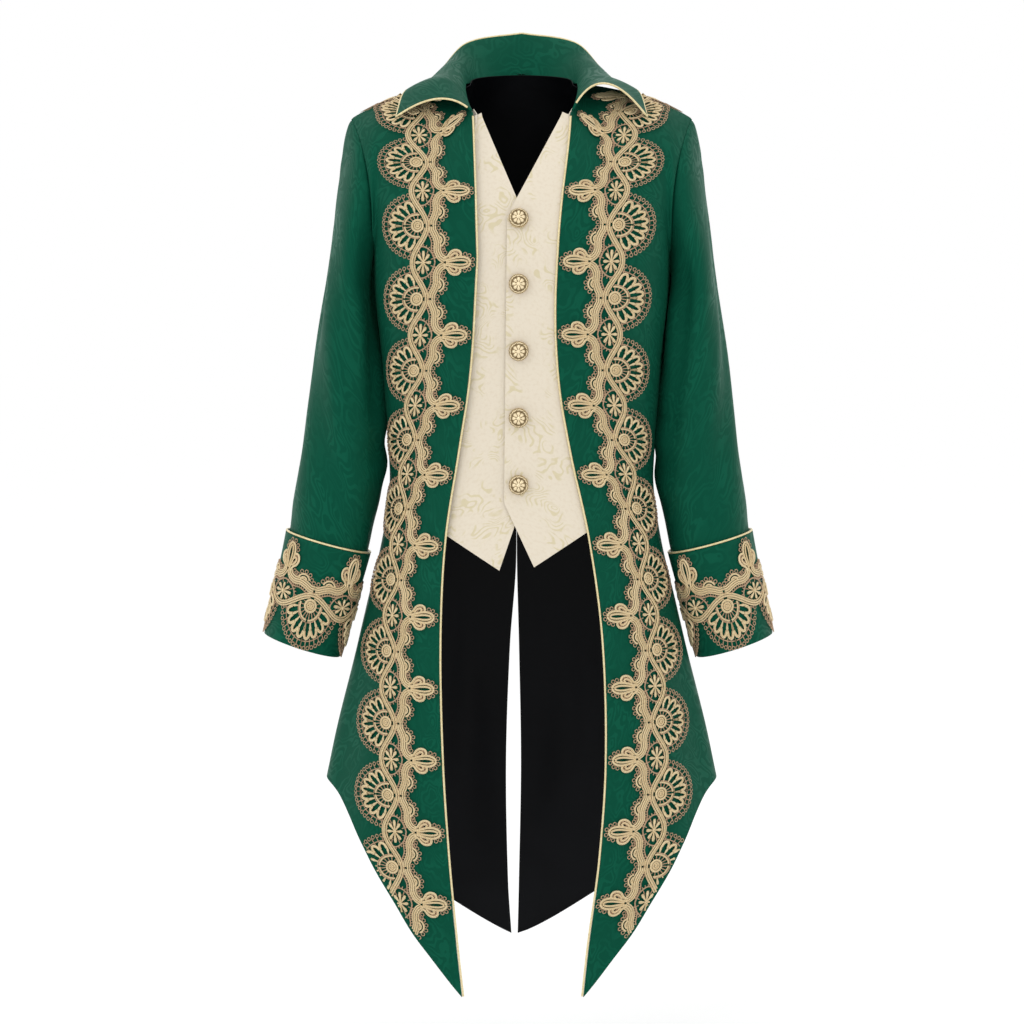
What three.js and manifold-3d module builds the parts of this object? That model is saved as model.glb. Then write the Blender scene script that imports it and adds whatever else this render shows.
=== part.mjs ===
// A swallow-tailed dress coat with a mock waistcoat front, filled out as it is worn but with no wearer.
// Millimetres, +Z up. The front faces -Y and +X is the wearer's left.
// The origin lies midway between the neck ends of the shoulder seams, where the coat hangs on the shoulders.
import * as THREE from "three";
import { mergeVertices } from "three/addons/utils/BufferGeometryUtils.js";
import Module from "manifold-3d";

const wasm = await Module();
wasm.setup();

// Cloth
const COAT_WALL = 2; // brocade with its interlining
const LINING_WALL = 1;
const WAISTCOAT_WALL = 1.5;
const COLLAR_WALL = 2.4;
const SEAM_GAP = 0.4; // between two pieces that are sewn together
const LINING_DEPTH = COAT_WALL + 0.6; // from the coat's outer face to the lining
const WAISTCOAT_DEPTH = COAT_WALL + 1.5; // the same to the waistcoat, where it is sewn under the fronts
const OVERLAP_DEPTH = WAISTCOAT_DEPTH + WAISTCOAT_WALL + 2; // the same to the waistcoat's under side

// Trim
const PIPING_RADIUS = 1.3;
const PIPING_OFFSET = PIPING_RADIUS + 1.3; // from the cloth's edge to the middle of the cord
const LACE_LIFT = 2.7; // from the front's cloth to the back of the lace
const LACE_WALL = 1.2;
const LACE_PITCH = 88; // from one leaf to the next
const LACE_EDGE = 3; // from the front edge to the leaf's tip
const LACE_TOP_Z = -41; // height of the middle of the first fan
const TOP_LENGTH = 135; // the lace is eased in over this length, to turn about the neck
const TOP_EASE = 0.84; // share of its own length that it takes up there
const LACE_AXIS = 67; // the lace keeps its length along the line this far from the front edge
const LACE_DRIFT = 10; // how much further from the edge it lies at its top
const DRIFT_LENGTH = 130;
const FRONT_REPEATS = 12;
const CUFF_REPEATS = 4;
const CUFF_LACE_EDGE = 4; // from the cuff's top edge to the leaf's tip
const CUFF_LACE_LIFT = 0.9;
const HEM_MARGIN = 5; // the lace ends this far above the hem

// Half a repeat of the lace, from the middle of a fan to that of a leaf: share of the pitch, then how far each line of its cords lies from the leaf's tip.
const laceStations = [
  { at: 0, tip: 45, arch: 56, braid: 79, ring: 101, rim: 122 },
  { at: 0.18, tip: 41, arch: 52, braid: 76, ring: 97, rim: 118 },
  { at: 0.36, tip: 31, arch: 45, braid: 74, ring: 90, rim: 106 },
  { at: 0.5, tip: 0, arch: 40, braid: 77, ring: 80, rim: 84 },
];
const laceLines = ["tip", "arch", "braid", "ring", "rim"];
const GAP_SHARE = 0.62; // width of a gap in its cell
// Gaps beside each flower, between the arch and the braid, and between the petals of each fan
const laceGaps = [
  { cells: [2, 3], line: 1 },
  { cells: [0, 1, 4, 5], line: 3 },
];

// Body
const ARMPIT_Z = -215;
const SIDE_CORNER_Z = -857; // where the front and back hems meet at the side seam
const CHEST_SPAN = 170; // length given to the stretch above the armpit

// Half width, how far the front and back stand out, and the power on the ellipse: less than 1 squares it
const bodySections = [
  { z: ARMPIT_Z, half: 184, front: 118, back: 108, power: 0.62 },
  { z: -270, half: 181.5, front: 118, back: 106, power: 0.66 },
  { z: -332, half: 175, front: 114, back: 102, power: 0.72 },
  { z: -395, half: 170.5, front: 109, back: 97, power: 0.8 },
  { z: -457, half: 166, front: 104, back: 93, power: 0.85 },
  { z: -500, half: 165, front: 103, back: 94, power: 0.85 },
  { z: -570, half: 175, front: 108, back: 103, power: 0.85 },
  { z: -646, half: 193, front: 116, back: 114, power: 0.85 },
  { z: -722, half: 211, front: 124, back: 124, power: 0.85 },
  { z: -798, half: 229, front: 131, back: 132, power: 0.85 },
  { z: SIDE_CORNER_Z, half: 241, front: 136, back: 138, power: 0.85 },
  { z: -1000, half: 271, front: 143, back: 147, power: 0.85 },
  { z: -1120, half: 294, front: 148, back: 154, power: 0.85 },
];

// Distance of each front edge from the middle plane
const frontEdges = [
  { z: -42, left: 61, right: 61 },
  { z: -149, left: 50, right: 54 },
  { z: -270, left: 42, right: 58 },
  { z: -366, left: 46, right: 65 },
  { z: -451, left: 60, right: 78 },
  { z: -561, left: 84, right: 95 },
  { z: -682, left: 100, right: 101 },
  { z: -828, left: 104, right: 98 },
  { z: -950, left: 96, right: 90 },
  { z: -1054, left: 82, right: 80 },
  { z: -1118, left: 75, right: 73 },
];

// The middle seam of the back and the vent under it: how far each side's edge lies towards its own side
const backEdges = [
  { z: 16, left: 0.2, right: 0.2 },
  { z: -215, left: -1.8, right: 2.2 },
  { z: -560, left: -5.8, right: 6.2 },
  { z: -620, left: -5.4, right: 7.2 },
  { z: -717, left: -2.9, right: 14.6 },
  { z: -874, left: -0.3, right: 19.8 },
  { z: -1033, left: -2.9, right: 17.2 },
  { z: -1106, left: -4.5, right: 12.7 },
];

// Height of each hem from the middle edge (0) to the side seam (1)
const frontHem = [
  { across: 0, z: -1117 },
  { across: 0.08, z: -1073 },
  { across: 0.15, z: -1040 },
  { across: 0.22, z: -1005 },
  { across: 0.31, z: -970 },
  { across: 0.41, z: -937 },
  { across: 0.55, z: -904 },
  { across: 0.76, z: -872 },
  { across: 1, z: SIDE_CORNER_Z },
];
const backHem = [
  { across: 0, z: -1105 },
  { across: 0.17, z: -1052 },
  { across: 0.24, z: -1033 },
  { across: 0.5, z: -955 },
  { across: 0.75, z: -888 },
  { across: 1, z: SIDE_CORNER_Z },
];

// Soft flutes of the skirt: angle round the body from the front, width in degrees, height at the hem
const FLUTE_TOP_Z = -520;
const flutes = [
  { angle: 62, width: 13, height: -5 },
  { angle: 80, width: 9, height: 5 },
  { angle: 101, width: 9, height: -7 },
  { angle: 119, width: 10, height: 7 },
  { angle: 141, width: 11, height: -7 },
  { angle: 160, width: 9, height: 5 },
];

// Neckline and shoulder of one side
const NECK_CORNER = [61, -64, -42];
const NECK_SIDE = [71, 5, -2];
const NECK_BACK = [0.2, 72, 16];
const SHOULDER_TIP = [212, 0, -46];
const frontNeckline = new THREE.QuadraticBezierCurve3(vec(NECK_CORNER), vec([70, -38, -26]), vec(NECK_SIDE));
const backNeckline = new THREE.CubicBezierCurve3(
  vec(NECK_BACK),
  vec([50, 72, 17]),
  vec([73, 45, 14]),
  vec(NECK_SIDE),
);
const shoulderSeam = new THREE.QuadraticBezierCurve3(vec(NECK_SIDE), vec([160, 3, -12]), vec(SHOULDER_TIP));
const NECK_SHARE = 0.28; // share of a panel's top edge that lies on the neckline

// How each column of a panel leaves the armpit level and comes in to the shoulder
const frontRise = [
  { across: 0, upX: 2, upY: 0, upZ: 60, inX: -3, inY: -22, inZ: -50 },
  { across: 0.28, upX: 2, upY: 2, upZ: 80, inX: 6, inY: -62, inZ: -26 },
  { across: 0.6, upX: -2, upY: -3, upZ: 80, inX: 5, inY: -72, inZ: -26 },
  { across: 0.8, upX: -4, upY: -18, upZ: 60, inX: -3, inY: -76, inZ: -30 },
  { across: 1, upX: -5, upY: -76, upZ: 12, inX: -28, inY: -80, inZ: -50 },
];
const backRise = [
  { across: 0, upX: 0, upY: 8, upZ: 90, inX: 0, inY: 24, inZ: -52 },
  { across: 0.28, upX: 1, upY: 6, upZ: 90, inX: 2, inY: 58, inZ: -24 },
  { across: 0.6, upX: -2, upY: 6, upZ: 80, inX: -2, inY: 66, inZ: -22 },
  { across: 0.8, upX: -5, upY: 22, upZ: 60, inX: -6, inY: 72, inZ: -28 },
  { across: 1, upX: -7, upY: 74, upZ: 12, inX: -32, inY: 80, inZ: -50 },
];

// Sleeve rings from the upper arm to the wrist: middle, half width, half depth and lean in degrees
const sleeveSections = [
  { z: -252, x: 214, y: 3, half: 29, depth: 73, lean: 0 },
  { z: -332, x: 216, y: 1, half: 39, depth: 67, lean: 4 },
  { z: -395, x: 218, y: -2, half: 45.5, depth: 60, lean: 8 },
  { z: -457, x: 221, y: -5, half: 51.5, depth: 54, lean: 11 },
  { z: -495, x: 226, y: -7, half: 53.5, depth: 51, lean: 12 },
  { z: -532, x: 233, y: -9, half: 52.5, depth: 49.5, lean: 13.5 },
  { z: -572, x: 239, y: -10, half: 50.7, depth: 48.5, lean: 15.5 },
  { z: -700, x: 271, y: -14, half: 46, depth: 45.5, lean: 18 },
];
const SLEEVE_TOP_Z = -252;
const SLEEVE_SWING = 4; // the right sleeve hangs this much further out at the wrist, the left this much closer in
const sleeveHalves = [
  { name: "top_sleeve", from: 50, to: 290, columns: 9 },
  { name: "under_sleeve", from: 290, to: 410, columns: 5 },
];
const ARMHOLE_GAP = 0.9;
const CUFF_TOP_Z = -572;
const CUFF_END_Z = -700;
const SLEEVE_TUCK = 3; // the sleeve ends this far inside the cuff
const CUFF_CLEARANCE = { top: 2.2, end: 1.6 }; // from the sleeve to the cuff's inner face

// Waistcoat panels from the neck to the point: inner edge, height of the outer edge, rows down from there
const waistcoats = {
  left: [
    { innerX: 50, innerZ: -40, outerZ: -44, rows: 2 },
    { innerX: -6, innerZ: -145, outerZ: -150, rows: 1 },
    { innerX: -18, innerZ: -168, outerZ: -172, rows: 7 },
    { innerX: -22, innerZ: -516, outerZ: -500, rows: 1 },
    { innerX: 15, innerZ: -594, outerZ: -551, rows: 0 },
  ],
  right: [
    { innerX: -50, innerZ: -40, outerZ: -44, rows: 2 },
    { innerX: -6, innerZ: -145, outerZ: -150, rows: 1 },
    { innerX: 8, innerZ: -178, outerZ: -176, rows: 7 },
    { innerX: 14, innerZ: -479, outerZ: -480, rows: 1 },
    { innerX: -28, innerZ: -598, outerZ: -556, rows: 0 },
  ],
};
const SEWN_ACROSS = 0.08; // share of the front that the waistcoat runs under
const YOKE_COLUMNS = 8; // on each side of the middle
const YOKE_END = 0.9; // share of the way to the shoulder and armhole that the neck's lining reaches
const YOKE_DEPTH = COAT_WALL + 5.5;

// Collar: middle and edge of each cross curve, from the front corner (0) to the middle of the back (1)
const collarSections = [
  { along: 0, midX: 95, midY: -62, midZ: 12, edgeX: 152, edgeY: -58, edgeZ: -45 },
  { along: 0.2, midX: 92, midY: -28, midZ: 18, edgeX: 143, edgeY: -16, edgeZ: -13 },
  { along: 0.4, midX: 84, midY: 12, midZ: 26, edgeX: 120, edgeY: 26, edgeZ: 0 },
  { along: 0.58, midX: 79, midY: 46, midZ: 42, edgeX: 99, edgeY: 64, edgeZ: 22 },
  { along: 0.75, midX: 60, midY: 70, midZ: 42, edgeX: 68, edgeY: 86, edgeZ: 54 },
  { along: 1, midX: 0, midY: 79, midZ: 43, edgeX: 0, edgeY: 90, edgeZ: 66 },
];
const COLLAR_ROLL = { left: 18, right: -18 }; // how much higher each front corner of the collar rolls
const ROLL_SHARE = 0.22; // share of the collar's half length that the corner's roll takes
const COLLAR_SEAM = 2; // from the neckline up to the middle of the collar's lower edge

// Buttons on the waistcoat's left panel
const BUTTON_X = -4;
const buttonHeights = [-171, -250, -331, -412, -494];
const BUTTON_RADIUS = 11;
const BUTTON_DOME = 5.5;
const BUTTON_RIM = 1.6;
const SHANK_RADIUS = 3;
const SHANK_LENGTH = 2.5;
const BUTTON_SEAT = 0.76; // from the cloth to the shank

const FINISHES = {
  brocade: { color: 0x0b4a35, roughness: 0.6, metalness: 0 },
  ivory: { color: 0xe8dcc2, roughness: 0.55, metalness: 0 },
  lining: { color: 0x0a0a0c, roughness: 0.4, metalness: 0 },
  lace: { color: 0xb99a63, roughness: 0.5, metalness: 0.2 },
  piping: { color: 0xd8c48e, roughness: 0.35, metalness: 0.3 },
  button: { color: 0xc9a558, roughness: 0.25, metalness: 1 },
};

const RADIANS = Math.PI / 180;
const sides = [
  { name: "left", sign: 1 },
  { name: "right", sign: -1 },
];

// Small helpers

function vec(list) {
  return new THREE.Vector3(...list);
}

function mix(a, b, share) {
  return a + (b - a) * share;
}

function clamp(value, low, high) {
  return Math.min(high, Math.max(low, value));
}

function mirrored(point, side) {
  return new THREE.Vector3(point.x * side.sign, point.y, point.z);
}

// The value of one column of a table at a key, on a smooth curve through its rows.
function read(table, key, at, column) {
  const rising = table[1][key] > table[0][key];
  let i = 1;
  while (i < table.length - 1 && (rising ? at > table[i][key] : at < table[i][key])) i += 1;
  const [a, b] = [table[i - 1], table[i]];
  const before = table[i - 2] ?? a;
  const after = table[i + 1] ?? b;
  const span = b[key] - a[key];
  const t = clamp((at - a[key]) / span, 0, 1);
  const slopeA = ((b[column] - before[column]) / (b[key] - before[key])) * span;
  const slopeB = ((after[column] - a[column]) / (after[key] - a[key])) * span;
  const t2 = t * t;
  const t3 = t2 * t;
  return (
    (2 * t3 - 3 * t2 + 1) * a[column] +
    (t3 - 2 * t2 + t) * slopeA +
    (3 * t2 - 2 * t3) * b[column] +
    (t3 - t2) * slopeB
  );
}

// A grid of points, rows by columns, from a function of two shares.
function grid(rows, columns, place) {
  return Array.from({ length: rows + 1 }, (_, r) =>
    Array.from({ length: columns + 1 }, (_, c) => place(r / rows, c / columns)),
  );
}

// The unit normal of a surface of two numbers, from points a little to each side.
function normalAt(surface, u, v, [stepU, stepV]) {
  const alongU = surface(u + stepU, v).sub(surface(u - stepU, v));
  const alongV = surface(u, v + stepV).sub(surface(u, v - stepV));
  return alongU.cross(alongV).normalize();
}

function signedVolume(positions, indices) {
  const corner = (i) => vec(positions.slice(3 * i, 3 * i + 3));
  let sum = 0;
  for (let i = 0; i < indices.length; i += 3) {
    sum += corner(indices[i]).dot(corner(indices[i + 1]).cross(corner(indices[i + 2])));
  }
  return sum;
}

// A geometry from flat lists, turned so that its faces point out.
function solidFrom(positions, indices) {
  const turned = (i) => indices[i - (i % 3) + ((3 - (i % 3)) % 3)];
  const outward = signedVolume(positions, indices) < 0 ? indices.map((_, i) => turned(i)) : indices;
  const geometry = new THREE.BufferGeometry();
  geometry.setAttribute("position", new THREE.Float32BufferAttribute(positions, 3));
  geometry.setIndex(outward);
  return geometry;
}

// A cloth wall: the grid's points moved out by `lift`, and again `thickness` further in, closed at its edges.
// `sign` says which side is out, a ring's columns close on themselves, and `seamNormal` gives the direction
// that two panels share at a point of their seam.
function wall(points, { thickness, lift = 0, sign = 1, ring = false, seamNormal = () => null }) {
  const rows = points.length;
  const width = points[0].length - (ring ? 1 : 0);
  const last = width - 1;
  const beside = (c, step) => (ring ? (c + step + width) % width : clamp(c + step, 0, last));
  const normal = (r, c) => {
    const shared = seamNormal(r, c);
    if (shared) {
      return shared;
    }
    const across = points[r][beside(c, 1)].clone().sub(points[r][beside(c, -1)]);
    const down = points[Math.min(rows - 1, r + 1)][c].clone().sub(points[Math.max(0, r - 1)][c]);
    return across.cross(down).setLength(sign);
  };
  const layer = (depth) =>
    points.flatMap((row, r) =>
      row.slice(0, width).flatMap((point, c) => point.clone().addScaledVector(normal(r, c), depth).toArray()),
    );
  const at = (inner, r, c) => (inner * rows + r) * width + (c % width);
  const indices = [];
  const quad = (a, b, c, d) => indices.push(a, b, c, a, c, d);
  const columns = ring ? width : last;
  for (let c = 0; c < columns; c += 1) {
    for (let r = 0; r < rows - 1; r += 1) {
      quad(at(0, r, c), at(0, r, c + 1), at(0, r + 1, c + 1), at(0, r + 1, c));
      quad(at(1, r, c), at(1, r + 1, c), at(1, r + 1, c + 1), at(1, r, c + 1));
    }
    quad(at(0, 0, c), at(1, 0, c), at(1, 0, c + 1), at(0, 0, c + 1));
    quad(at(0, rows - 1, c), at(0, rows - 1, c + 1), at(1, rows - 1, c + 1), at(1, rows - 1, c));
  }
  for (let r = 0; r < rows - 1 && !ring; r += 1) {
    quad(at(0, r, 0), at(0, r + 1, 0), at(1, r + 1, 0), at(1, r, 0));
    quad(at(0, r, last), at(1, r, last), at(1, r + 1, last), at(0, r + 1, last));
  }
  return solidFrom([...layer(lift), ...layer(lift - thickness)], indices);
}

// A round cord through the given points.
function cord(points, steps, closed = false) {
  const CORD_SIDES = 5;
  const section = new THREE.Shape(
    Array.from({ length: CORD_SIDES }, (_, i) => {
      const turn = (i / CORD_SIDES) * 2 * Math.PI;
      return new THREE.Vector2(PIPING_RADIUS * Math.cos(turn), PIPING_RADIUS * Math.sin(turn));
    }),
  );
  const path = new THREE.CatmullRomCurve3(points, closed);
  return new THREE.ExtrudeGeometry(section, { steps, extrudePath: path, bevelEnabled: false });
}

// The body's surface

// How far the skirt's flutes push the cloth out at an angle and height.
function fluteHeight(angle, z) {
  const share = clamp((FLUTE_TOP_Z - z) / (FLUTE_TOP_Z - SIDE_CORNER_Z), 0, 1);
  const ease = share * share * (3 - 2 * share);
  const bump = (flute) => flute.height * Math.exp(-(((angle / RADIANS - flute.angle) / flute.width) ** 2));
  return ease * flutes.reduce((total, flute) => total + bump(flute), 0);
}

// A point on the body below the armpit: angle 0 is the middle of the front, half a turn that of the back.
function bodyPoint(angle, z) {
  const value = (column) => read(bodySections, "z", z, column);
  const squared = (part) => Math.sign(part) * Math.abs(part) ** value("power");
  const out = 1 + fluteHeight(angle, z) / value("half");
  const reach = value(Math.cos(angle) > 0 ? "front" : "back");
  return vec([value("half") * out * squared(Math.sin(angle)), -reach * out * squared(Math.cos(angle)), z]);
}

// The angle from the middle plane at which the body is `x` wide at a height.
function angleOf(x, z) {
  const share = x / read(bodySections, "z", z, "half");
  return Math.asin(Math.sign(share) * Math.abs(share) ** (1 / read(bodySections, "z", z, "power")));
}

const panels = {
  front: { edges: frontEdges, hem: frontHem, rise: frontRise, neckline: frontNeckline, middle: 0 },
  back: { edges: backEdges, hem: backHem, rise: backRise, neckline: backNeckline, middle: Math.PI },
};

// A point on a panel below the armpit: across 0 is its middle edge and 1 the side seam.
function skirtPoint(panel, side, across, z) {
  const edgeAngle = angleOf(read(panel.edges, "z", z, side.name), z);
  return bodyPoint(Math.abs(panel.middle - mix(edgeAngle, Math.PI / 2, across)), z);
}

// A point on a panel above the armpit: up 0 is the armpit level and 1 the neckline and shoulder seam.
function chestPoint(panel, side, across, up) {
  const start = skirtPoint(panel, side, across, ARMPIT_Z);
  const end =
    across < NECK_SHARE
      ? panel.neckline.getPoint(across / NECK_SHARE)
      : shoulderSeam.getPoint((across - NECK_SHARE) / (1 - NECK_SHARE));
  const value = (name) => read(panel.rise, "across", across, name);
  const leave = start.clone().add(vec([value("upX"), value("upY"), value("upZ")]));
  const arrive = end.clone().add(vec([value("inX"), value("inY"), value("inZ")]));
  return new THREE.CubicBezierCurve3(start, leave, arrive, end).getPoint(up);
}

// A level runs from -CHEST_SPAN at the shoulder through 0 at the armpit down to the hem.
function panelPoint(panel, side, across, level) {
  return level < 0
    ? chestPoint(panel, side, across, -level / CHEST_SPAN)
    : skirtPoint(panel, side, across, ARMPIT_Z - level);
}

function outwardNormal(panel, side, across, level) {
  const surface = (a, l) => panelPoint(panel, side, a, l);
  const normal = normalAt(surface, clamp(across, 0.005, 0.995), Math.max(level, 1 - CHEST_SPAN), [0.004, 0.8]);
  return normal.multiplyScalar(panel === panels.front ? -1 : 1);
}

// The same point moved along the cloth's outward normal.
function liftedPoint(panel, side, across, level, lift) {
  const normal = outwardNormal(panel, side, across, level);
  return panelPoint(panel, side, across, level).addScaledVector(normal, lift);
}

const CHEST_ROWS = 5;
// Rows of a panel under the armpit, as shares of the way to the hem, closest at the waist
const skirtShares = [0, 0.08, 0.16, 0.22, 0.27, 0.32, 0.37, 0.43, 0.51, 0.6, 0.7, 0.8, 0.9, 1];
const LAST_ROW = CHEST_ROWS + skirtShares.length - 1;
const WAIST_ROW = CHEST_ROWS + 5;
const FRONT_COLUMNS = 9;
const BACK_COLUMNS = 12;
const PANEL_END = 0.997; // a panel ends this share of the way to its shoulder and side seams

// The points of a panel from one row to another, the last of them on the slanting hem.
function panelGrid(panel, side, columns, { from = 0, to = LAST_ROW, hemRise = 0, last = PANEL_END } = {}) {
  return grid(to - from, columns, (down, share) => {
    const across = share * last;
    const row = Math.round(mix(from, to, down));
    if (row < CHEST_ROWS) {
      return mirrored(chestPoint(panel, side, across, mix(last, 0, row / CHEST_ROWS)), side);
    }
    const hem = read(panel.hem, "across", across, "z") + hemRise;
    const z = mix(ARMPIT_Z, hem, skirtShares[row - CHEST_ROWS]);
    return mirrored(skirtPoint(panel, side, across, z), side);
  });
}

// A panel's wall. At the shoulder, side and centre back seams its edges stand square to both panels.
function panelWall(panel, side, columns, { range = {}, ...cloth }) {
  const points = panelGrid(panel, side, columns, range);
  const first = range.from ?? 0;
  const seamNormal = (r, c) => {
    const row = r + first;
    const across = c / columns;
    const level = row < CHEST_ROWS ? mix(-CHEST_SPAN, 0, row / CHEST_ROWS) : ARMPIT_Z - points[r][c].z;
    if (c === 0 && panel === panels.back) {
      return mirrored(outwardNormal(panel, side, across, level).setX(0).normalize(), side);
    }
    if ((row === 0 && across > NECK_SHARE) || (c === columns && row >= CHEST_ROWS)) {
      const [front, back] = [panels.front, panels.back].map((one) => outwardNormal(one, side, across, level));
      return mirrored(front.add(back).normalize(), side);
    }
    return null;
  };
  return wall(points, { ...cloth, seamNormal, sign: side.sign * (panel === panels.front ? -1 : 1) });
}

// The lining across the shoulders, which shows inside the neck: both sides of the back in one piece.
function liningYoke() {
  const [left, right] = sides.map((side) =>
    panelGrid(panels.back, side, YOKE_COLUMNS, { to: CHEST_ROWS + 1, last: YOKE_END }),
  );
  const points = left.map((row, r) => [...row.toReversed(), ...right[r].slice(1)]);
  return wall(points, { thickness: LINING_WALL, lift: -YOKE_DEPTH, sign: -1 });
}

// Sleeves and cuffs

const CAP_ROWS = 5;
const ARM_ROWS = 8;
const SLEEVE_SEAM = 0.6; // degrees left open at each seam of the sleeve

// A ring of the sleeve: turn 0 is the inner side, a quarter turn the front, half a turn the outer side.
function sleeveRing(z, turn, spread = 0) {
  const value = (column) => read(sleeveSections, "z", z, column);
  const lean = value("lean") * RADIANS;
  const reach = -(value("half") + spread) * Math.cos(turn);
  return vec([
    value("x") + reach * Math.cos(lean),
    value("y") - (value("depth") + spread) * Math.sin(turn),
    z + reach * Math.sin(lean),
  ]);
}

// The armhole as a closed loop with the same turns as the rings.
function armholePoint(side, turn) {
  const share = turn / Math.PI;
  const panel = share <= 1 ? panels.front : panels.back;
  return chestPoint(panel, side, 1, share <= 1 ? share : 2 - share).add(vec([ARMHOLE_GAP, 0, 0]));
}

// The cap of the sleeve, from the armhole out and down to the first ring.
function capPoint(side, turn, down) {
  const start = armholePoint(side, turn);
  const end = sleeveRing(SLEEVE_TOP_Z, turn);
  const drop = start.distanceTo(end);
  const height = 0.5 - 0.5 * Math.cos(turn);
  const leave = vec([mix(0.1, 0.06, height), -0.12 * Math.sin(turn), mix(-0.3, -0.02, height)]);
  const arrive = vec([mix(0, -0.07, height), 0, mix(0.3, 0.5, height)]);
  return new THREE.CubicBezierCurve3(
    start,
    start.clone().addScaledVector(leave, drop),
    end.clone().addScaledVector(arrive, drop),
    end,
  ).getPoint(down);
}

// A point of the sleeve, swung out with its own side.
function swing(point, side, z) {
  const share = Math.max(0, (SLEEVE_TOP_Z - z) / (SLEEVE_TOP_Z - CUFF_END_Z));
  return mirrored(point.setX(point.x - side.sign * SLEEVE_SWING * share), side);
}

// A point of the sleeve at a turn in degrees and a row: the cap's rows come first and then the arm's.
function sleevePoint(side, degrees, row) {
  const turn = ((degrees + 360) % 360) * RADIANS;
  const z = mix(SLEEVE_TOP_Z, CUFF_END_Z + SLEEVE_TUCK, Math.max(0, (row - CAP_ROWS) / ARM_ROWS));
  return swing(row <= CAP_ROWS ? capPoint(side, turn, row / CAP_ROWS) : sleeveRing(z, turn), side, z);
}

function sleeveWall(side, { from, to, columns }) {
  const rows = CAP_ROWS + ARM_ROWS;
  const degreesAt = (share) => mix(from + SLEEVE_SEAM / 2, to - SLEEVE_SEAM / 2, share);
  const points = grid(rows, columns, (down, share) => sleevePoint(side, degreesAt(share), down * rows));
  const seamNormal = (r, c) => {
    const surface = (degrees, row) => sleevePoint(side, degrees, row);
    const normal = normalAt(surface, degreesAt(c / columns), clamp(r, 0.1, rows - 0.1), [0.5, 0.05]);
    return normal.multiplyScalar(-side.sign);
  };
  return wall(points, { thickness: COAT_WALL, seamNormal });
}

// The cuff's outer face: down 0 is its top edge and 1 its end.
function cuffPoint(side, turn, down, lift = 0) {
  const z = mix(CUFF_TOP_Z, CUFF_END_Z, down);
  const spread = mix(CUFF_CLEARANCE.top, CUFF_CLEARANCE.end, down) + COAT_WALL + lift;
  return swing(sleeveRing(z, turn, spread), side, z);
}

function cuffPiping(side) {
  const CUFF_PIPING_STEPS = 20;
  const rise = (PIPING_RADIUS + SEAM_GAP) / (CUFF_TOP_Z - CUFF_END_Z);
  const points = grid(0, CUFF_PIPING_STEPS, (_, share) =>
    cuffPoint(side, share * 2 * Math.PI, -rise, -COAT_WALL / 2),
  )[0];
  return cord(points.slice(0, -1), CUFF_PIPING_STEPS, true);
}

// Collar

function collarPoint(along, across) {
  const side = sides[along < 0 ? 1 : 0];
  const part = 1 - Math.abs(along);
  const value = (name) => read(collarSections, "along", part, name);
  const roll = COLLAR_ROLL[side.name] * Math.max(0, 1 - part / ROLL_SHARE);
  const neck = part < 0.4 ? frontNeckline.getPoint(part / 0.4) : backNeckline.getPoint((1 - part) / 0.6);
  const foot = neck.clone().add(vec([0, 0, COLLAR_SEAM]));
  const middle = vec([value("midX"), value("midY"), value("midZ") + roll]);
  const edge = vec([value("edgeX"), value("edgeY"), value("edgeZ")]);
  return mirrored(new THREE.QuadraticBezierCurve3(foot, middle, edge).getPoint(across), side);
}

// The cord round the collar's free edges, from one front corner to the other.
function collarPiping() {
  const FALL_POINTS = 30;
  const outFrom = (along, across, [stepAlong, stepAcross]) =>
    collarPoint(along, across)
      .sub(collarPoint(along * (1 - stepAlong), across - stepAcross))
      .setLength(PIPING_OFFSET);
  const forward = (end, across) => outFrom(end, across, [0.04, 0]);
  const down = (along) => outFrom(along, 1, [0, 0.04]);
  const frontEdge = (end) =>
    [0.08, 0.3, 0.52, 0.74, 0.93].map((across) => collarPoint(end, across).add(forward(end, across)));
  const corner = (end) => collarPoint(end, 1).addScaledVector(forward(end, 1), 1.3).addScaledVector(down(end), 1.3);
  const fall = Array.from({ length: FALL_POINTS + 1 }, (_, i) => {
    const along = mix(0.97, -0.97, i / FALL_POINTS);
    return collarPoint(along, 1).add(down(along));
  });
  return cord([...frontEdge(1), corner(1), ...fall, corner(-1), ...frontEdge(-1).reverse()], 46);
}

// The cord along a front edge, level with the middle of the cloth.
function frontPiping(side) {
  const PIPING_POINTS = 24;
  const hemLevel = ARMPIT_Z - frontHem[0].z;
  const points = Array.from({ length: PIPING_POINTS + 1 }, (_, i) => {
    const level = mix(4 - CHEST_SPAN, hemLevel - 1, i / PIPING_POINTS);
    const edge = liftedPoint(panels.front, side, 0, level, -COAT_WALL / 2);
    const inward = liftedPoint(panels.front, side, 0.03, level, -COAT_WALL / 2);
    return mirrored(edge.clone().add(edge.clone().sub(inward).setLength(PIPING_OFFSET)), side);
  });
  return cord(points, 26);
}

// Waistcoat

// The level at which a front reaches a height, at its edge or further across.
function levelAt(side, z, across = 0) {
  if (z < ARMPIT_Z) {
    return ARMPIT_Z - z;
  }
  let [low, high] = [0, 1];
  for (let i = 0; i < 20; i += 1) {
    const middle = (low + high) / 2;
    [low, high] = chestPoint(panels.front, side, across, middle).z < z ? [middle, high] : [low, middle];
  }
  return -low * CHEST_SPAN;
}

// The coat's outer face carried on between its front edges.
function openingPoint(x, z) {
  const side = sides[x < 0 ? 1 : 0];
  const level = levelAt(side, z);
  const edge = panelPoint(panels.front, side, 0, level);
  const low = Math.min(z, ARMPIT_Z);
  const bow = bodyPoint(0, low).y - skirtPoint(panels.front, side, 0, low).y;
  const fade = 1 - Math.max(0, -level / CHEST_SPAN);
  return vec([x, edge.y + bow * fade * (1 - (x / edge.x) ** 2), z]);
}

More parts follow.
